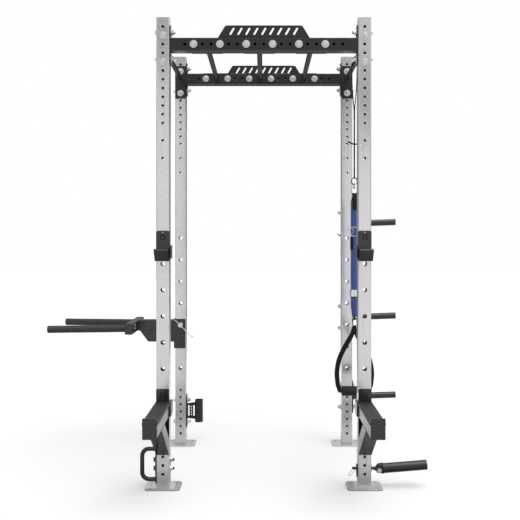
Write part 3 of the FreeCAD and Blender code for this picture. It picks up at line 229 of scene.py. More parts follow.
def black_foam():
    """Closed-cell foam: small pores and soft dents."""
    paint = Paint("black_foam", (0.012, 0.012, 0.012), 0.0, 0.85)
    pores = paint.cells(700)["Distance"]
    paint.colour(paint.blend(paint.noise(40, 5), (0.009, 0.009, 0.009), (0.02, 0.02, 0.02)))
    paint.relief(pores, 0.0004, 0.6)
    paint.relief(paint.noise(60, 3), 0.0008, 0.4)
    return paint.material


# How much light the floor gives back to the object, by metres behind the rack's middle: painted shade in the
# floor's colour, seen only in reflections and bounce, darkest just in front of the rack and far behind it;
# and the glow that keeps the floor white in view
BOUNCE = ((-10.0, 0.84), (-6.0, 0.84), (-1.2, 0.66), (-0.9, 0.62), (-0.78, 0.3), (-0.45, 0.3),
          (0.0, 0.6), (0.5, 0.66), (1.6, 0.95), (4.0, 0.8), (6.0, 0.3), (8.0, 0.12))
BOUNCE_REACH = 10.0
FLOOR_GREY = (0.78, 0.78, 0.78)
FLOOR_GLOW = 0.12


def floor_paint():
    """Seamless white paper: diffuse, with a little glow of its own so that it stays white far away. Rays
    other than the camera's see painted shade in its colour, which changes with depth.
    """
    paint = Paint("studio_floor", FLOOR_GREY, 0.0, 0.9)
    paint.shader.inputs["Specular IOR Level"].default_value = 0.1
    paint.shader.inputs["Emission Color"].default_value = (1, 1, 1, 1)
    path = paint.tree.nodes.new("ShaderNodeLightPath")
    ends = paint.add("ShaderNodeSeparateXYZ")
    paint.link(paint.coordinates.outputs["Object"], ends.inputs[0])
    painted_bounce_shade = paint.add("ShaderNodeValToRGB")
    paint.link(paint.span(ends.outputs["Y"], 0.0, 1.0, -BOUNCE_REACH, BOUNCE_REACH), painted_bounce_shade.inputs["Fac"])
    stops = painted_bounce_shade.color_ramp.elements
    while len(stops) < len(BOUNCE):
        stops.new(0.5)
    for stop, (metres, value) in zip(stops, BOUNCE):
        stop.position = (metres + BOUNCE_REACH) / (2 * BOUNCE_REACH)
        stop.color = (value, value, value, 1)
    # Painted shade: rays other than the camera's see the floor's colour from the depth ramp, and the camera
    # sees plain grey.
    paint.colour(paint.blend(path.outputs["Is Camera Ray"], painted_bounce_shade.outputs["Color"], FLOOR_GREY))
    paint.link(paint.math("MULTIPLY", path.outputs["Is Camera Ray"], FLOOR_GLOW),
               paint.shader.inputs["Emission Strength"])
    return paint.material


MATERIALS = {
    "silver_coat": silver_coat(),
    "black_coat": black_coat(),
    "zinc": zinc(),
    "polished_steel": polished_steel(),
    "liner_plastic": liner_plastic(),
    "grip_coat": grip_coat(),
    "black_webbing": weave("black_webbing", (0.003, 0.003, 0.003), (0.014, 0.014, 0.014), 330, 0.04),
    "blue_fabric": weave("blue_fabric", (0.035, 0.055, 0.20), (0.072, 0.112, 0.36), 420, 0.3),
    "elastic": weave("elastic", (0.01, 0.01, 0.01), (0.05, 0.05, 0.05), 250, 0.1),
    "black_foam": black_foam(),
}

# ---------------------------------------------------------------------------
# CAD nodes: materials, softened edges
# ---------------------------------------------------------------------------

EDGE_WIDTH = {"silver_coat": 0.8, "black_coat": 0.8, "zinc": 0.6, "polished_steel": 0.3, "liner_plastic": 1.0}


def finish_cad_nodes():
    """Give every CAD node its slot's material and round its sharp edges slightly."""
    slots = {s["node"]: s["material_slot"] for s in frame["record"]["subparts"]}
    for name, slot in slots.items():
        thing = nodes[name]
        thing.data.materials.clear()
        thing.data.materials.append(MATERIALS[slot])
        weld = thing.modifiers.new("Weld", "WELD")
        weld.merge_threshold = 0.00001
        bevel = thing.modifiers.new("Bevel", "BEVEL")
        bevel.width = EDGE_WIDTH.get(slot, 0.4) * MM
        bevel.segments = 2
        bevel.limit_method = "ANGLE"
        bevel.angle_limit = math.radians(40)
        bevel.use_clamp_overlap = True
        bevel.harden_normals = False
        thing.data.polygons.foreach_set("use_smooth", [True] * len(thing.data.polygons))
        normals = thing.modifiers.new("Normals", "WEIGHTED_NORMAL")
        normals.keep_sharp = True


finish_cad_nodes()

# ---------------------------------------------------------------------------
# Mesh helpers for the pieces built here
# ---------------------------------------------------------------------------


def new_piece(name, points, faces, slot, uv=None, smooth=True):
    """A mesh object with its slot's material; uv holds one pair per face corner, in metres."""
    mesh = bpy.data.meshes.new(name)
    mesh.from_pydata([tuple(p) for p in points], [], faces)
    if uv is not None:
        layer = mesh.uv_layers.new(name="UVMap")
        layer.data.foreach_set("uv", np.asarray(uv, np.float32).ravel())
    mesh.polygons.foreach_set("use_smooth", [smooth] * len(mesh.polygons))
    mesh.materials.append(MATERIALS[slot])
    piece = bpy.data.objects.new(name, mesh)
    bpy.context.scene.collection.objects.link(piece)
    return piece


def rounded_rectangle(width, thick, radius, steps=3):
    """Section points (across, through), counter-clockwise."""
    points = []
    for cx, cy, start in ((1, 1, 0), (-1, 1, 90), (-1, -1, 180), (1, -1, 270)):
        for k in range(steps + 1):
            angle = math.radians(start + 90 * k / steps)
            points.append((cx * (width / 2 - radius) + radius * math.cos(angle),
                           cy * (thick / 2 - radius) + radius * math.sin(angle)))
    return points


def circle(radius, count=24):
    return [(radius * math.cos(2 * math.pi * k / count), radius * math.sin(2 * math.pi * k / count))
            for k in range(count)]


def smooth_path(points, count, closed=False):
    """Catmull-Rom curve through the points, resampled to even steps."""
    points = [Vector(p) for p in points]
    dense = []
    total = len(points)
    spans = total if closed else total - 1
    for i in range(spans):
        p1, p2 = points[i], points[(i + 1) % total]
        p0 = points[i - 1] if closed or i else p1 * 2 - p2
        p3 = points[(i + 2) % total] if closed or i + 2 < total else p2 * 2 - p1
        for k in range(24):
            t = k / 24
            dense.append(0.5 * ((2 * p1) + (p2 - p0) * t + (2 * p0 - 5 * p1 + 4 * p2 - p3) * t * t
                                + (3 * p1 - p0 - 3 * p2 + p3) * t ** 3))
    dense.append(points[0] if closed else points[-1])
    dense = np.array([tuple(p) for p in dense])
    steps = np.r_[0, np.cumsum(np.linalg.norm(np.diff(dense, axis=0), axis=1))]
    wanted = np.linspace(0, steps[-1], count + 1)
    path = np.stack([np.interp(wanted, steps, dense[:, k]) for k in range(3)], axis=1)
    return [Vector(p) for p in (path[:-1] if closed else path)]


def sweep(name, path, section, across, slot, closed=False, shape=None):
    """Carry a section along a path. across is the direction the section's first axis leans to;
    shape(fraction, index) may return a changed section for that place on the path."""
    count, ring = len(path), len(section)
    across = Vector(across).normalized()
    points, lengths, girth = [], [0.0], [0.0]
    for k in range(1, ring + 1):
        a, b = section[k - 1], section[k % ring]
        girth.append(girth[-1] + math.hypot(a[0] - b[0], a[1] - b[1]))
    for i, here in enumerate(path):
        before = path[i - 1] if closed or i else here
        after = path[(i + 1) % count] if closed or i + 1 < count else here
        tangent = (after - before).normalized()
        side = (across - tangent * across.dot(tangent)).normalized()
        through = tangent.cross(side)
        local = shape(i / max(count - 1, 1), i) if shape else section
        points += [here + side * u + through * v for u, v in local]
        if i:
            lengths.append(lengths[-1] + (here - path[i - 1]).length)
    lengths.append(lengths[-1] + (path[0] - path[-1]).length)
    faces, uv = [], []
    for i in range(count if closed else count - 1):
        j = (i + 1) % count
        for k in range(ring):
            m = (k + 1) % ring
            faces.append((i * ring + k, i * ring + m, j * ring + m, j * ring + k))
            uv += [(girth[k], lengths[i]), (girth[k + 1], lengths[i]),
                   (girth[k + 1], lengths[i + 1]), (girth[k], lengths[i + 1])]
    if not closed:
        for start, order in ((0, range(ring - 1, -1, -1)), ((count - 1) * ring, range(ring))):
            faces.append(tuple(start + k for k in order))
            uv += [(section[k][0], section[k][1]) for k in order]
    return new_piece(name, points, faces, slot, uv)


def join(name, parts):
    """Merge several pieces of one slot into one object."""
    for part in bpy.context.selected_objects:
        part.select_set(False)
    for part in parts:
        part.select_set(True)
    bpy.context.view_layer.objects.active = parts[0]
    bpy.ops.object.join()
    parts[0].name = name
    parts[0].select_set(False)
    return parts[0]


def stitches(name, rows, body, slot="black_webbing", length=0.0032, thread=0.00045, gap=0.0016):
    """Rows of short raised threads. Each row is (start, end, outward direction)."""
    points, faces = [], []
    for start, end, outward in rows:
        start, end, outward = Vector(start), Vector(end), Vector(outward).normalized()
        along = (end - start).normalized()
        side = along.cross(outward)
        count = max(1, int((end - start).length / (length + gap)))
        for k in range(count):
            middle = start + along * ((k + 0.5) * (length + gap))
            base = len(points)
            for t, lift, half in ((-0.5, 0.0, 0.3), (-0.25, 1.0, 1.0), (0.25, 1.0, 1.0), (0.5, 0.0, 0.3)):
                centre = middle + along * (t * length) + outward * (lift * thread * 0.6)
                points += [centre + side * half * thread, centre + outward * half * thread,
                           centre - side * half * thread, centre - outward * half * thread]
            for ring in range(3):
                for m in range(4):
                    a, b = base + ring * 4 + m, base + ring * 4 + (m + 1) % 4
                    faces.append((a, b, b + 4, a + 4))
    piece = new_piece(name, points, faces, slot)
    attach(piece, body)
    return piece


# ---------------------------------------------------------------------------
# Bolts and nuts
# ---------------------------------------------------------------------------

HEX_FLATS, HEAD_HEIGHT, NUT_HEIGHT = 0.024, 0.010, 0.013
BOLT_RADIUS, THREAD_PITCH, THREAD_DEPTH = 0.0079, 0.0022, 0.0007
THREAD_LENGTH, TIP_LENGTH, TIP_DEPTH = 0.030, 0.0016, 0.0012
POINT = 0.00005
AROUND = 48
SHARP = math.radians(32)
CHAMFER_RISE = math.tan(math.radians(28))


def loose_parts(node):
    """Corner points of each separate solid of a CAD node, always in the same order: by lowest corner."""
    mesh = bmesh.new()
    mesh.from_mesh(nodes[node].data)
    bmesh.ops.remove_doubles(mesh, verts=mesh.verts, dist=1e-5)
    left, parts = set(mesh.verts), []
    while left:
        stack = [left.pop()]
        found = list(stack)
        while stack:
            for edge in stack.pop().link_edges:
                for vert in edge.verts:
                    if vert in left:
                        left.remove(vert)
                        stack.append(vert)
                        found.append(vert)
        parts.append(np.array([tuple(v.co) for v in found]))
    mesh.free()
    return sorted(parts, key=lambda part: tuple(part.min(axis=0)))


def hexagon_radius(angles):
    return HEX_FLATS / 2 / np.cos((angles % (math.pi / 3)) - math.pi / 6)


def hex_bolt(length):
    """Bolt along +Z with its head under z = 0: chamfered hexagon, plain shank, rolled thread, pointed end."""
    angles = np.arange(AROUND) * 2 * math.pi / AROUND
    corner = hexagon_radius(angles)
    across = HEX_FLATS / 2 * 0.94
    drop = np.maximum(0, corner - across) * CHAMFER_RISE
    top = -HEAD_HEIGHT
    flat = 0 * angles
    rings = [(flat + POINT, flat + top + 0.0004), (flat + across * 0.55, flat + top + 0.0004),
             (flat + across * 0.62, flat + top), (flat + across, flat + top),
             (corner * 0.985, top + drop), (corner, top + drop + 0.0004), (corner, flat - 0.0008),
             (corner * 0.985, flat - 0.0004), (flat + BOLT_RADIUS * 1.42, flat - 0.0004),
             (flat + BOLT_RADIUS * 1.40, flat), (flat + BOLT_RADIUS * 1.08, flat),
             (flat + BOLT_RADIUS, flat + 0.001)]
    thread_start = max(0.01, length - THREAD_LENGTH)
    rings.append((flat + BOLT_RADIUS, flat + thread_start))
    step = THREAD_PITCH / 4
    for z in np.arange(thread_start + step, length - step, step):
        wave = np.abs(((z / THREAD_PITCH - angles / (2 * math.pi)) % 1) * 2 - 1)
        tip = max(0.0, (z - (length - TIP_LENGTH)) / TIP_LENGTH)
        rings.append((BOLT_RADIUS - THREAD_DEPTH * wave - TIP_DEPTH * tip, flat + z))
    rings.append((flat + BOLT_RADIUS - TIP_DEPTH - THREAD_DEPTH, flat + length))
    rings.append((flat + POINT, flat + length))
    return rings


def hex_nut():
    """Nut from z = 0 to its height: both ends chamfered, plain bore with chamfered mouths."""
    angles = np.arange(AROUND) * 2 * math.pi / AROUND
    corner = hexagon_radius(angles)
    across = HEX_FLATS / 2 * 0.95
    drop = np.maximum(0, corner - across) * CHAMFER_RISE
    bore = BOLT_RADIUS + 0.0001
    flat = 0 * angles
    return [(flat + bore, flat + 0.0012), (flat + bore + 0.0011, flat), (flat + across, flat),
            (corner, drop + 0.0003), (corner, NUT_HEIGHT - drop - 0.0003), (flat + across, flat + NUT_HEIGHT),
            (flat + bore + 0.0011, flat + NUT_HEIGHT), (flat + bore, flat + NUT_HEIGHT - 0.0012),
            (flat + bore, flat + 0.0012)]


def stand(rings, base, direction, turn):
    """Points of lathe rings, stood on a base point along a direction and turned about it."""
    direction = Vector(direction)
    side = Vector((0, 0, 1)).cross(direction).normalized()
    up = direction.cross(side)
    points = []
    for radius, height in rings:
        angles = np.arange(len(radius)) * 2 * math.pi / len(radius) + turn
        for r, z, a in zip(radius, height, angles):
            points.append(Vector(base) + side * (r * math.cos(a)) + up * (r * math.sin(a)) + direction * z)
    return points


def add_turned(points, faces, rings, base, direction):
    """Stand a turned shape at a random turn and add its points, and the faces between its rings."""
    start, count = len(points), len(rings[0][0])
    points += stand(rings, base, direction, RNG.uniform(0, math.pi))
    for row in range(start, start + (len(rings) - 1) * count, count):
        for k in range(count):
            m = (k + 1) % count
            faces.append((row + k, row + m, row + count + m, row + count + k))


def fasteners(name, node, slot, shape):
    """One object for all the bolts or nuts of a node; shape(points) gives rings, base point and direction."""
    points, faces = [], []
    for part in loose_parts(node):
        add_turned(points, faces, *shape(part))
    piece = new_piece(name, points, faces, slot)
    sharp = piece.modifiers.new("Normals", "WEIGHTED_NORMAL")
    sharp.keep_sharp = True
    piece.data.set_sharp_from_angle(angle=SHARP)
    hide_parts(node)
    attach(piece, "frame")
    return piece


def bolt_shape(part):
    """Head end, axis and length of a bolt from its CAD solid."""
    low, high = part.min(axis=0), part.max(axis=0)
    axis = 0 if high[0] - low[0] > high[1] - low[1] else 1
    middle = (low + high) / 2
    wide = np.linalg.norm(np.delete(part - middle, axis, axis=1), axis=1) > BOLT_RADIUS * 1.2
    head_low = part[wide, axis].mean() < middle[axis]
    direction = np.zeros(3)
    direction[axis] = 1 if head_low else -1
    base = middle.copy()
    base[axis] = low[axis] + HEAD_HEIGHT if head_low else high[axis] - HEAD_HEIGHT
    return hex_bolt(high[axis] - low[axis] - HEAD_HEIGHT), base, direction


def nut_shape(part):
    low, high = part.min(axis=0), part.max(axis=0)
    axis = 0 if high[0] - low[0] < high[1] - low[1] else 1
    direction = np.zeros(3)
    direction[axis] = 1
    base = (low + high) / 2
    base[axis] = low[axis]
    return hex_nut(), base, direction


RNG = np.random.default_rng(7)
fasteners("hex_bolts", "frame_bolts", "zinc", bolt_shape)
fasteners("hex_nuts", "frame_nuts", "zinc", nut_shape)
fasteners("loop_bolts", "tie_down_bolts", "black_coat", bolt_shape)


def build_yoke_bolts():
    """Two small bolts through the dip yoke's inner face, beside the front handle."""
    low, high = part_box("dip_yoke")
    side, middle = high.x, (low.z + high.z) / 2
    points, faces = [], []
    for level in (middle + 0.019, middle - 0.002):
        rings = [(radius * 0.55, height * 0.5) for radius, height in hex_bolt(0.02)]
        add_turned(points, faces, rings, (side, low.y + 0.091, level), (-1, 0, 0))
    piece = new_piece("yoke_bolts", points, faces, "zinc")
    piece.data.set_sharp_from_angle(angle=SHARP)
    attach(piece, "dip_station")


build_yoke_bolts()

# ---------------------------------------------------------------------------
# Suspended trainer
# ---------------------------------------------------------------------------

SIDE_X = 0.5842
BAR_Z = 2.5727


def at(x, z, y=0.0):
    return (SIDE_X + x * MM, y * MM, z * MM)


def build_strap():
    """Webbing choked over the side bar, doubled and sewn, opening round the ring at its lower end."""
    section = rounded_rectangle(0.038, 0.0028, 0.0012)
    ring = 17.9
    loop = [at(-1.5, 1852), at(-1.5, 2010), at(-1.5, 2262), at(-7.5, 2340), at(-15.0, 2450), at(-17.8, 2550)]
    loop += [at(ring * math.cos(a), BAR_Z / MM + ring * math.sin(a)) for a in np.radians(range(180, -1, -20))]
    loop += [at(17.8, 2550), at(15.0, 2450), at(7.5, 2340), at(1.5, 2262), at(1.5, 2010), at(1.5, 1852)]
    eye = [at(1.5, 1852), at(9, 1840), at(17.5, 1826), at(16.5, 1808), at(8, 1798.6), at(0, 1797.8),
           at(-8, 1798.6), at(-16.5, 1808), at(-17.5, 1826), at(-9, 1840), at(-1.5, 1852)]
    path = smooth_path(loop + eye[1:-1], 420, closed=True)
    strap = sweep("anchor_webbing", path, section, (0, 1, 0), "black_webbing", closed=True)
    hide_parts("anchor_strap")
    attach(strap, "trainer_strap")
    rows = []
    for low_z, high_z in ((2215.0, 2258.0), (1860.0, 1905.0)):
        for hand in (-1, 1):
            face = hand * 2.95
            for y in (-15.5, -5.0, 5.0, 15.5):
                rows.append((at(face, low_z, y), at(face, high_z, y), (hand, 0, 0)))
            for level in (low_z, high_z):
                rows.append((at(face, level, -15.5), at(face, level, 15.5), (hand, 0, 0)))
            rows.append((at(face, low_z, -15.5), at(face, high_z, 15.5), (hand, 0, 0)))
            rows.append((at(face, low_z, 15.5), at(face, high_z, -15.5), (hand, 0, 0)))
    stitches("anchor_webbing_stitches", rows, "trainer_strap")
    return strap


def build_keeper():
    """Short curved webbing tab across the strap's front."""
    low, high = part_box("strap_keeper")
    y = (low.y + high.y) / 2
    dip = 2.0635
    route = [(low.x + 0.001, y, high.z - 0.005), (SIDE_X - 0.03, y, dip), (SIDE_X, y, low.z + 0.006),
             (SIDE_X + 0.03, y, dip), (high.x - 0.001, y, high.z - 0.005)]
    path = smooth_path(route, 60)
    section = rounded_rectangle(0.019, 0.0075, 0.003)
    keeper = sweep("keeper_tab", path, section, (0, 1, 0), "black_webbing")
    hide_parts("strap_keeper")
    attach(keeper, "trainer_strap")


def wire_loop(name, corners, wire, across, slot, count=120):
    return sweep(name, smooth_path(corners, count, closed=True), circle(wire, 16), across, slot, closed=True)


def build_carabiner(node, body, name, half, low, high, wire=0.0029):
    """Pear-shaped snap link with a gate and its hinge pin."""
    middle = (low + high) / 2
    span = high - low
    corners = [at(0, high), at(half * 0.72, high - 0.06 * span), at(half, high - 0.22 * span),
               at(half * 0.92, middle), at(half * 0.62, low + 0.14 * span), at(0, low),
               at(-half * 0.62, low + 0.14 * span), at(-half * 0.92, middle),
               at(-half, high - 0.22 * span), at(-half * 0.72, high - 0.06 * span)]
    loop = wire_loop(name + "_frame", corners, wire, (0, 1, 0), "polished_steel")
    gate_path = [Vector(at(half * 0.98, high - 0.24 * span)), Vector(at(half * 0.70, low + 0.22 * span))]
    gate = sweep(name + "_gate", smooth_path(gate_path, 14), circle(wire * 1.28, 20), (0, 1, 0),
                 "polished_steel")
    pin = sweep(name + "_pin", [Vector(at(half * 0.74, low + 0.25 * span, s)) for s in (-4.6, 4.6)],
                circle(0.0012, 12), (1, 0, 0), "polished_steel")
    link = join(name, [loop, gate, pin])
    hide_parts(node)
    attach(link, body)


def build_tab():
    """Webbing hood sewn over the top of the sleeve."""
    path = smooth_path([at(0, 1634, -26.6), at(0, 1690, -26.4), at(0, 1708, -25.2), at(0, 1728, -15.0),
                        at(0, 1740.6, -6.0), at(0, 1741.4, 0), at(0, 1740.6, 6.0), at(0, 1728, 15.0),
                        at(0, 1708, 25.2), at(0, 1690, 26.4), at(0, 1634, 26.6)], 110)
    tab = sweep("sleeve_hood", path, rounded_rectangle(0.031, 0.003, 0.0012), (1, 0, 0), "black_webbing")
    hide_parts("sleeve_tab")
    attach(tab, "trainer_sleeve")
    rows = []
    for hand in (-1, 1):
        face = hand * 28.2
        for x in (-13.0, 13.0):
            rows.append((at(x, 1637, face), at(x, 1696, face), (0, hand, 0)))
        for z in (1637, 1660, 1696):
            rows.append((at(-13, z, face), at(13, z, face), (0, hand, 0)))
        rows.append((at(-13, 1637, face), at(13, 1660, face), (0, hand, 0)))
        rows.append((at(13, 1637, face), at(-13, 1660, face), (0, hand, 0)))
    stitches("sleeve_hood_stitches", rows, "trainer_sleeve")


# The sleeve's levels and radii: rounded shoulder at the top, clamp, and mouth narrowing from its neck down.
SLEEVE_TOP, SLEEVE_LOW = 1.698, 0.952
SLEEVE_RADIUS, MOUTH_RADIUS, CORE_RADIUS = 0.0238, 0.0142, 0.0125
SHOULDER_Z, CLAMP_Z, NECK_Z = 1.685, 1.0985, 1.02


def build_sleeve():
    """Fabric tube gathered lightly on the elastic, with drifting folds, cinched by clamp and mouth."""
    rings, around = 420, 96
    top, bottom = SLEEVE_TOP, SLEEVE_LOW
    angles = np.linspace(0, 2 * np.pi, around, endpoint=False)
    phases = RNG.uniform(0, 2 * np.pi, 6)
    points = []
    for i in range(rings + 1):
        t = i / rings
        z = top + (bottom - top) * t
        radius = SLEEVE_RADIUS
        if z > SHOULDER_Z:
            radius *= 0.86 + 0.14 * math.sqrt(max(0.0, (top - z) / (top - SHOULDER_Z)))
        if z < NECK_Z:
            s = (NECK_Z - z) / (NECK_Z - bottom)
            radius += (MOUTH_RADIUS - radius) * (3 * s * s - 2 * s ** 3)
        cinch = math.exp(-((z - CLAMP_Z) / 0.032) ** 2)
        radius -= 0.0012 * cinch
        fold = 0.00030 + 0.00075 * cinch
        if z < 1.03:
            fold += 0.0010 * (1.03 - z) / 0.078
        ripple = (np.sin(9 * angles + phases[0] + 6 * math.sin(3.1 * t + phases[1]))
                  + 0.7 * np.sin(14 * angles + phases[2] - 9 * t)
                  + 0.5 * np.sin(5 * angles + phases[3] + 17 * t)
                  + 0.8 * np.sin(2 * angles + 40 * t + phases[4]) * math.sin(55 * t + phases[5]))
        local = radius + fold * ripple
        points += [(SIDE_X + r * math.cos(a), r * math.sin(a), z) for r, a in zip(local, angles)]
    faces, uv = [], []
    girth, step = 2 * math.pi * 0.024 / around, (top - bottom) / rings
    for i in range(rings):
        for k in range(around):
            m = (k + 1) % around
            faces.append((i * around + k, (i + 1) * around + k, (i + 1) * around + m, i * around + m))
            uv += [(k * girth, i * step), (k * girth, (i + 1) * step), ((k + 1) * girth, (i + 1) * step),
                   ((k + 1) * girth, i * step)]
    lid = len(points)
    points.append((SIDE_X, 0, top))
    for k in range(around):
        faces.append((lid, k, (k + 1) % around))
        uv += [(0, 0), (girth, 0), (0, girth)]
    inner = len(points)
    for z, radius in ((bottom, CORE_RADIUS), (bottom + 0.012, CORE_RADIUS), (bottom + 0.05, 0.0185)):
        points += [(SIDE_X + radius * math.cos(a), radius * math.sin(a), z) for a in angles]
    last = rings * around
    for start, end in ((last, inner), (inner, inner + around), (inner + around, inner + 2 * around)):
        for k in range(around):
            m = (k + 1) % around
            faces.append((start + k, end + k, end + m, start + m))
            uv += [(k * girth, 0), (k * girth, 0.01), ((k + 1) * girth, 0.01), ((k + 1) * girth, 0)]
    sleeve = new_piece("gathered_sleeve", points, faces, "blue_fabric", uv)
    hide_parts("bungee_sleeve")
    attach(sleeve, "trainer_sleeve")
    seams = []
    for level in (1.694, 0.958):
        radius = 0.0243 if level > 1.2 else 0.0160
        ring = [Vector((SIDE_X + radius * math.cos(a), radius * math.sin(a), level))
                for a in np.linspace(0, 2 * np.pi, 48, endpoint=False)]
        seams.append(sweep("hem", ring, circle(0.0009, 8), (0, 0, 1), "blue_fabric", closed=True))
    edge = smooth_path([at(24.1, 1690), at(24.3, 1500), at(24.1, 1300), at(23.6, 1140), at(23.2, 1100),
                        at(24.0, 1060), at(22.6, 1005), at(17.0, 972), at(15.4, 956)], 120)
    seams.append(sweep("side_seam", edge, rounded_rectangle(0.0016, 0.0012, 0.0005), (0, 1, 0),
                       "blue_fabric"))
    seam = join("sleeve_seams", seams)
    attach(seam, "trainer_sleeve")
    bends = np.radians(np.linspace(-20, 66, 20))
    wrap = [(-0.0262 * math.cos(b), 0.0262 * math.sin(b)) for b in bends[::-1]]
    wrap += [(-0.0246 * math.cos(b), 0.0246 * math.sin(b)) for b in bends]
    patch_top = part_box("bungee_sleeve")[1].z / MM - 238
    patch_low = patch_top - 84
    spine = smooth_path([at(0, patch_top), at(0, (patch_top + patch_low) / 2), at(0, patch_low)], 40)
    patch = sweep("side_patch", spine, wrap, (1, 0, 0), "black_webbing")
    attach(patch, "trainer_sleeve")
    rows = []
    for turn in (-12, 58):
        side, ahead = -math.cos(math.radians(turn)), -math.sin(math.radians(turn))
        foot = at(26.5 * side, patch_low + 4, 26.5 * ahead)
        head = at(26.5 * side, patch_top - 4, 26.5 * ahead)
        rows.append((foot, head, (side, ahead, 0)))
    stitches("side_patch_stitches", rows, "trainer_sleeve")


def build_sling():
    """Tubular padded straps hanging from one sewn gather and carrying the roller's rod."""
    wire = 874.0
    roller = 467.0
    reach = 94.0
    pads = []
    for hand in (-1, 1):
        route = [at(hand * 8, wire - 6), at(hand * 16, wire - 44), at(hand * 56, 760), at(hand * 96, 675),
                 at(hand * 112, 590), at(hand * 107, 515), at(hand * 100, roller + 20),
                 at(hand * 97, roller - 4)]
        path = smooth_path(route, 150)
        seam_side = hand

        def shape(t, i):
            swell = 1.0 - 0.38 * math.exp(-(t / 0.07) ** 2) - 0.28 * math.exp(-((1 - t) / 0.05) ** 2)
            pucker = 1 + 0.035 * math.sin(i * 1.9) * math.sin(i * 0.37 + seam_side)
            half_wide, half_thick = 0.0146 * (0.75 + 0.25 * swell), 0.0155 * swell * pucker
            ring = []
            for k in range(40):
                a = 2 * math.pi * k / 40
                off_seam = (a - math.pi / 2 + math.pi) % (2 * math.pi) - math.pi
                pinch = 1 - 0.10 * math.exp(-(off_seam / 0.16) ** 2)
                ring.append((half_wide * math.copysign(abs(math.cos(a)) ** 0.8, math.cos(a)) * pinch,
                             half_thick * math.copysign(abs(math.sin(a)) ** 0.8, math.sin(a)) * pinch))
            return ring

        pads.append(sweep("sling_pad", path, circle(0.015, 40), (0, 1, 0), "black_webbing", shape=shape))
    gather = smooth_path([at(0, wire + 15), at(0, wire + 6), at(0, wire - 8), at(0, wire - 30)], 30)
    pads.append(sweep("sling_gather", gather, rounded_rectangle(0.028, 0.036, 0.008), (0, 1, 0),
                      "black_webbing",
                      shape=lambda t, i: rounded_rectangle(0.0285, 0.019 + 0.022 * min(1.0, t * 1.6), 0.006)))
    sling = join("sling", pads)
    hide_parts("sling_straps")
    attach(sling, "trainer_sling")
    rod = sweep("sling_rod", [Vector(at(x, roller)) for x in np.linspace(-reach - 8, reach + 8, 20)],
                circle(0.0124, 32), (0, 1, 0), "black_coat")
    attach(rod, "trainer_sling")
    foam_radius, half = 0.0318, 0.082
    profile = []
    for k in range(61):
        x = -half + 2 * half * k / 60
        edge = max(0.0, abs(x) - half + 0.006) / 0.006
        profile.append((x, foam_radius - 0.0045 * edge ** 2 - 0.0006 * math.sin(37 * k) ** 2
                        - 0.0010 * math.exp(-(x / 0.02) ** 2)))
    path = [Vector((SIDE_X + x, 0, roller * MM)) for x, _ in profile]
    foam = sweep("foam_grip", path, circle(foam_radius, 48), (0, 1, 0), "black_foam",
                 shape=lambda t, i: circle(profile[i][1], 48))
    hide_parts("foam_roller")
    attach(foam, "trainer_roller")


build_strap()
build_keeper()
build_carabiner("upper_carabiner", "trainer_sleeve", "upper_snap_link", 19.5, 1707.5, 1780.5)
build_carabiner("lower_carabiner", "trainer_core", "lower_snap_link", 17.5, 871.5, 944.5)
build_tab()
build_sleeve()
build_sling()

# ---------------------------------------------------------------------------
# Floor, camera and light
# ---------------------------------------------------------------------------


# Lens and sensor width in millimetres, place in metres.
SENSOR_WIDTH = 36.0
LENS = 55.38
SHIFT = (-0.0073, -0.0359)
CAMERA_PLACE = (0.0, -5.1604, 1.4315)


def build_stage():
    half = 40.0
    mesh = bpy.data.meshes.new("studio_floor")
    corners = [(-half, -half, 0), (half, -half, 0), (half, half, 0), (-half, half, 0)]
    mesh.from_pydata(corners, [], [(0, 1, 2, 3)])
    mesh.materials.append(floor_paint())
    floor = bpy.data.objects.new("studio_floor", mesh)
    bpy.context.scene.collection.objects.link(floor)


def build_camera():
    """Straight-on view from the front, slightly above the rack's middle."""
    data = bpy.data.cameras.new("camera")
    data.sensor_width = SENSOR_WIDTH
    data.lens = LENS
    data.shift_x, data.shift_y = SHIFT
    data.clip_end = 100.0
    camera = bpy.data.objects.new("camera", data)
    camera.location = CAMERA_PLACE
    camera.rotation_euler = (math.radians(90), 0, 0)
    bpy.context.scene.collection.objects.link(camera)
    bpy.context.scene.camera = camera


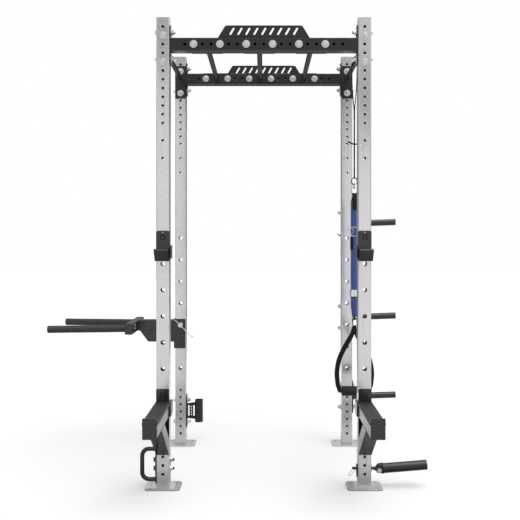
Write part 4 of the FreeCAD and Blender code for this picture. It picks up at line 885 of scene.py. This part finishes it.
def build_light():
    """White surroundings seen pure white; what they cast is a soft studio: bright overhead and low in front,
    dimmer high in front, to the sides and behind."""
    world = bpy.data.worlds.new("studio")
    bpy.context.scene.world = world
    world.use_nodes = True
    tree = world.node_tree
    tree.nodes.clear()
    link = tree.links.new

    def add(kind, operation=None, a=None, b=None):
        node = tree.nodes.new(kind)
        if operation:
            node.operation = operation
        for socket, value in zip(node.inputs, (a, b)):
            if isinstance(value, (int, float)):
                socket.default_value = value
            elif value is not None:
                link(value, socket)
        return node

    def ramp(source, stops):
        """Piecewise linear value; each stop is (position, value)."""
        curve = tree.nodes.new("ShaderNodeValToRGB")
        while len(curve.color_ramp.elements) < len(stops):
            curve.color_ramp.elements.new(0.5)
        for element, (place, value) in zip(curve.color_ramp.elements, stops):
            element.position = place
            element.color = (value, value, value, 1)
        link(source, curve.inputs["Fac"])
        return curve.outputs["Color"]

    coordinates = tree.nodes.new("ShaderNodeTexCoord")
    split = tree.nodes.new("ShaderNodeSeparateXYZ")
    link(coordinates.outputs["Generated"], split.inputs[0])
    tilted = add("ShaderNodeMath", "MULTIPLY_ADD", split.outputs["X"], SOFTBOX_TILT)
    link(split.outputs["Z"], tilted.inputs[2])
    height = add("ShaderNodeMath", "MULTIPLY_ADD", tilted.outputs[0], 0.5)
    height.inputs[2].default_value = 0.5
    ahead = add("ShaderNodeMath", "MULTIPLY_ADD", split.outputs["Y"], 0.5)
    ahead.inputs[2].default_value = 0.5
    aside = add("ShaderNodeMath", "MULTIPLY_ADD", split.outputs["X"], 0.5)
    aside.inputs[2].default_value = 0.5
    by_height = ramp(height.outputs[0], HEIGHT_STOPS)
    by_depth = ramp(ahead.outputs[0], DEPTH_STOPS)
    by_side = ramp(aside.outputs[0], SIDE_STOPS)
    level = add("ShaderNodeMath", "MULTIPLY", by_height, by_depth)
    upright = add("ShaderNodeMath", "MULTIPLY_ADD", split.outputs["Z"], 0.5)
    upright.inputs[2].default_value = 0.5
    back = add("ShaderNodeMath", "MULTIPLY", ramp(ahead.outputs[0], BACK_DEPTH_STOPS),
               ramp(upright.outputs[0], BACK_HEIGHT_STOPS))
    both = add("ShaderNodeMath", "ADD", level.outputs[0], back.outputs[0])
    product = add("ShaderNodeMath", "MULTIPLY", both.outputs[0], by_side)
    output = tree.nodes.new("ShaderNodeOutputWorld")
    mix = tree.nodes.new("ShaderNodeMixShader")
    path = tree.nodes.new("ShaderNodeLightPath")
    seen = tree.nodes.new("ShaderNodeBackground")
    seen.inputs["Color"].default_value = (1, 1, 1, 1)
    lit = tree.nodes.new("ShaderNodeBackground")
    lit.inputs["Color"].default_value = (1, 1, 1, 1)
    strength = add("ShaderNodeMath", "MULTIPLY", product.outputs[0], WORLD_STRENGTH)
    link(strength.outputs[0], lit.inputs["Strength"])
    link(path.outputs["Is Camera Ray"], mix.inputs[0])
    link(lit.outputs[0], mix.inputs[1])
    link(seen.outputs[0], mix.inputs[2])
    link(mix.outputs[0], output.inputs["Surface"])


# Brightness of the surroundings by height (0 straight down, 0.5 level, 1 straight up), by depth
# (0 the camera's side, 1 behind the rack) and by side (0 left, 1 right). The tilt raises the height stops
# on the left; the back stops add a low bright band behind the rack.
WORLD_STRENGTH = 1.62
SOFTBOX_TILT = 0.3
HEIGHT_STOPS = ((0.0, 0.5), (0.42, 0.5), (0.5, 0.67), (0.57, 0.66), (0.584, 0.62), (0.59, 0.25),
                (0.595, 0.0), (0.611, 0.0), (0.617, 0.15), (0.624, 0.36), (0.65, 0.5), (0.78, 0.65),
                (0.9, 1.2), (0.955, 1.3), (0.972, 2.9), (1.0, 3.0))
DEPTH_STOPS = ((0.0, 1.0), (0.3, 0.95), (0.6, 0.38), (1.0, 0.25))
BACK_DEPTH_STOPS = ((0.0, 0.0), (0.6, 0.0), (0.9, 1.0), (1.0, 1.0))
BACK_HEIGHT_STOPS = ((0.0, 0.0), (0.606, 0.0), (0.614, 0.45), (0.7, 0.45), (0.8, 0.0))
SIDE_STOPS = ((0.0, 0.62), (0.35, 0.8), (0.5, 1.0), (0.65, 1.0), (1.0, 0.95))

build_stage()
build_camera()
build_light()
bpy.context.scene.view_settings.view_transform = "Standard"
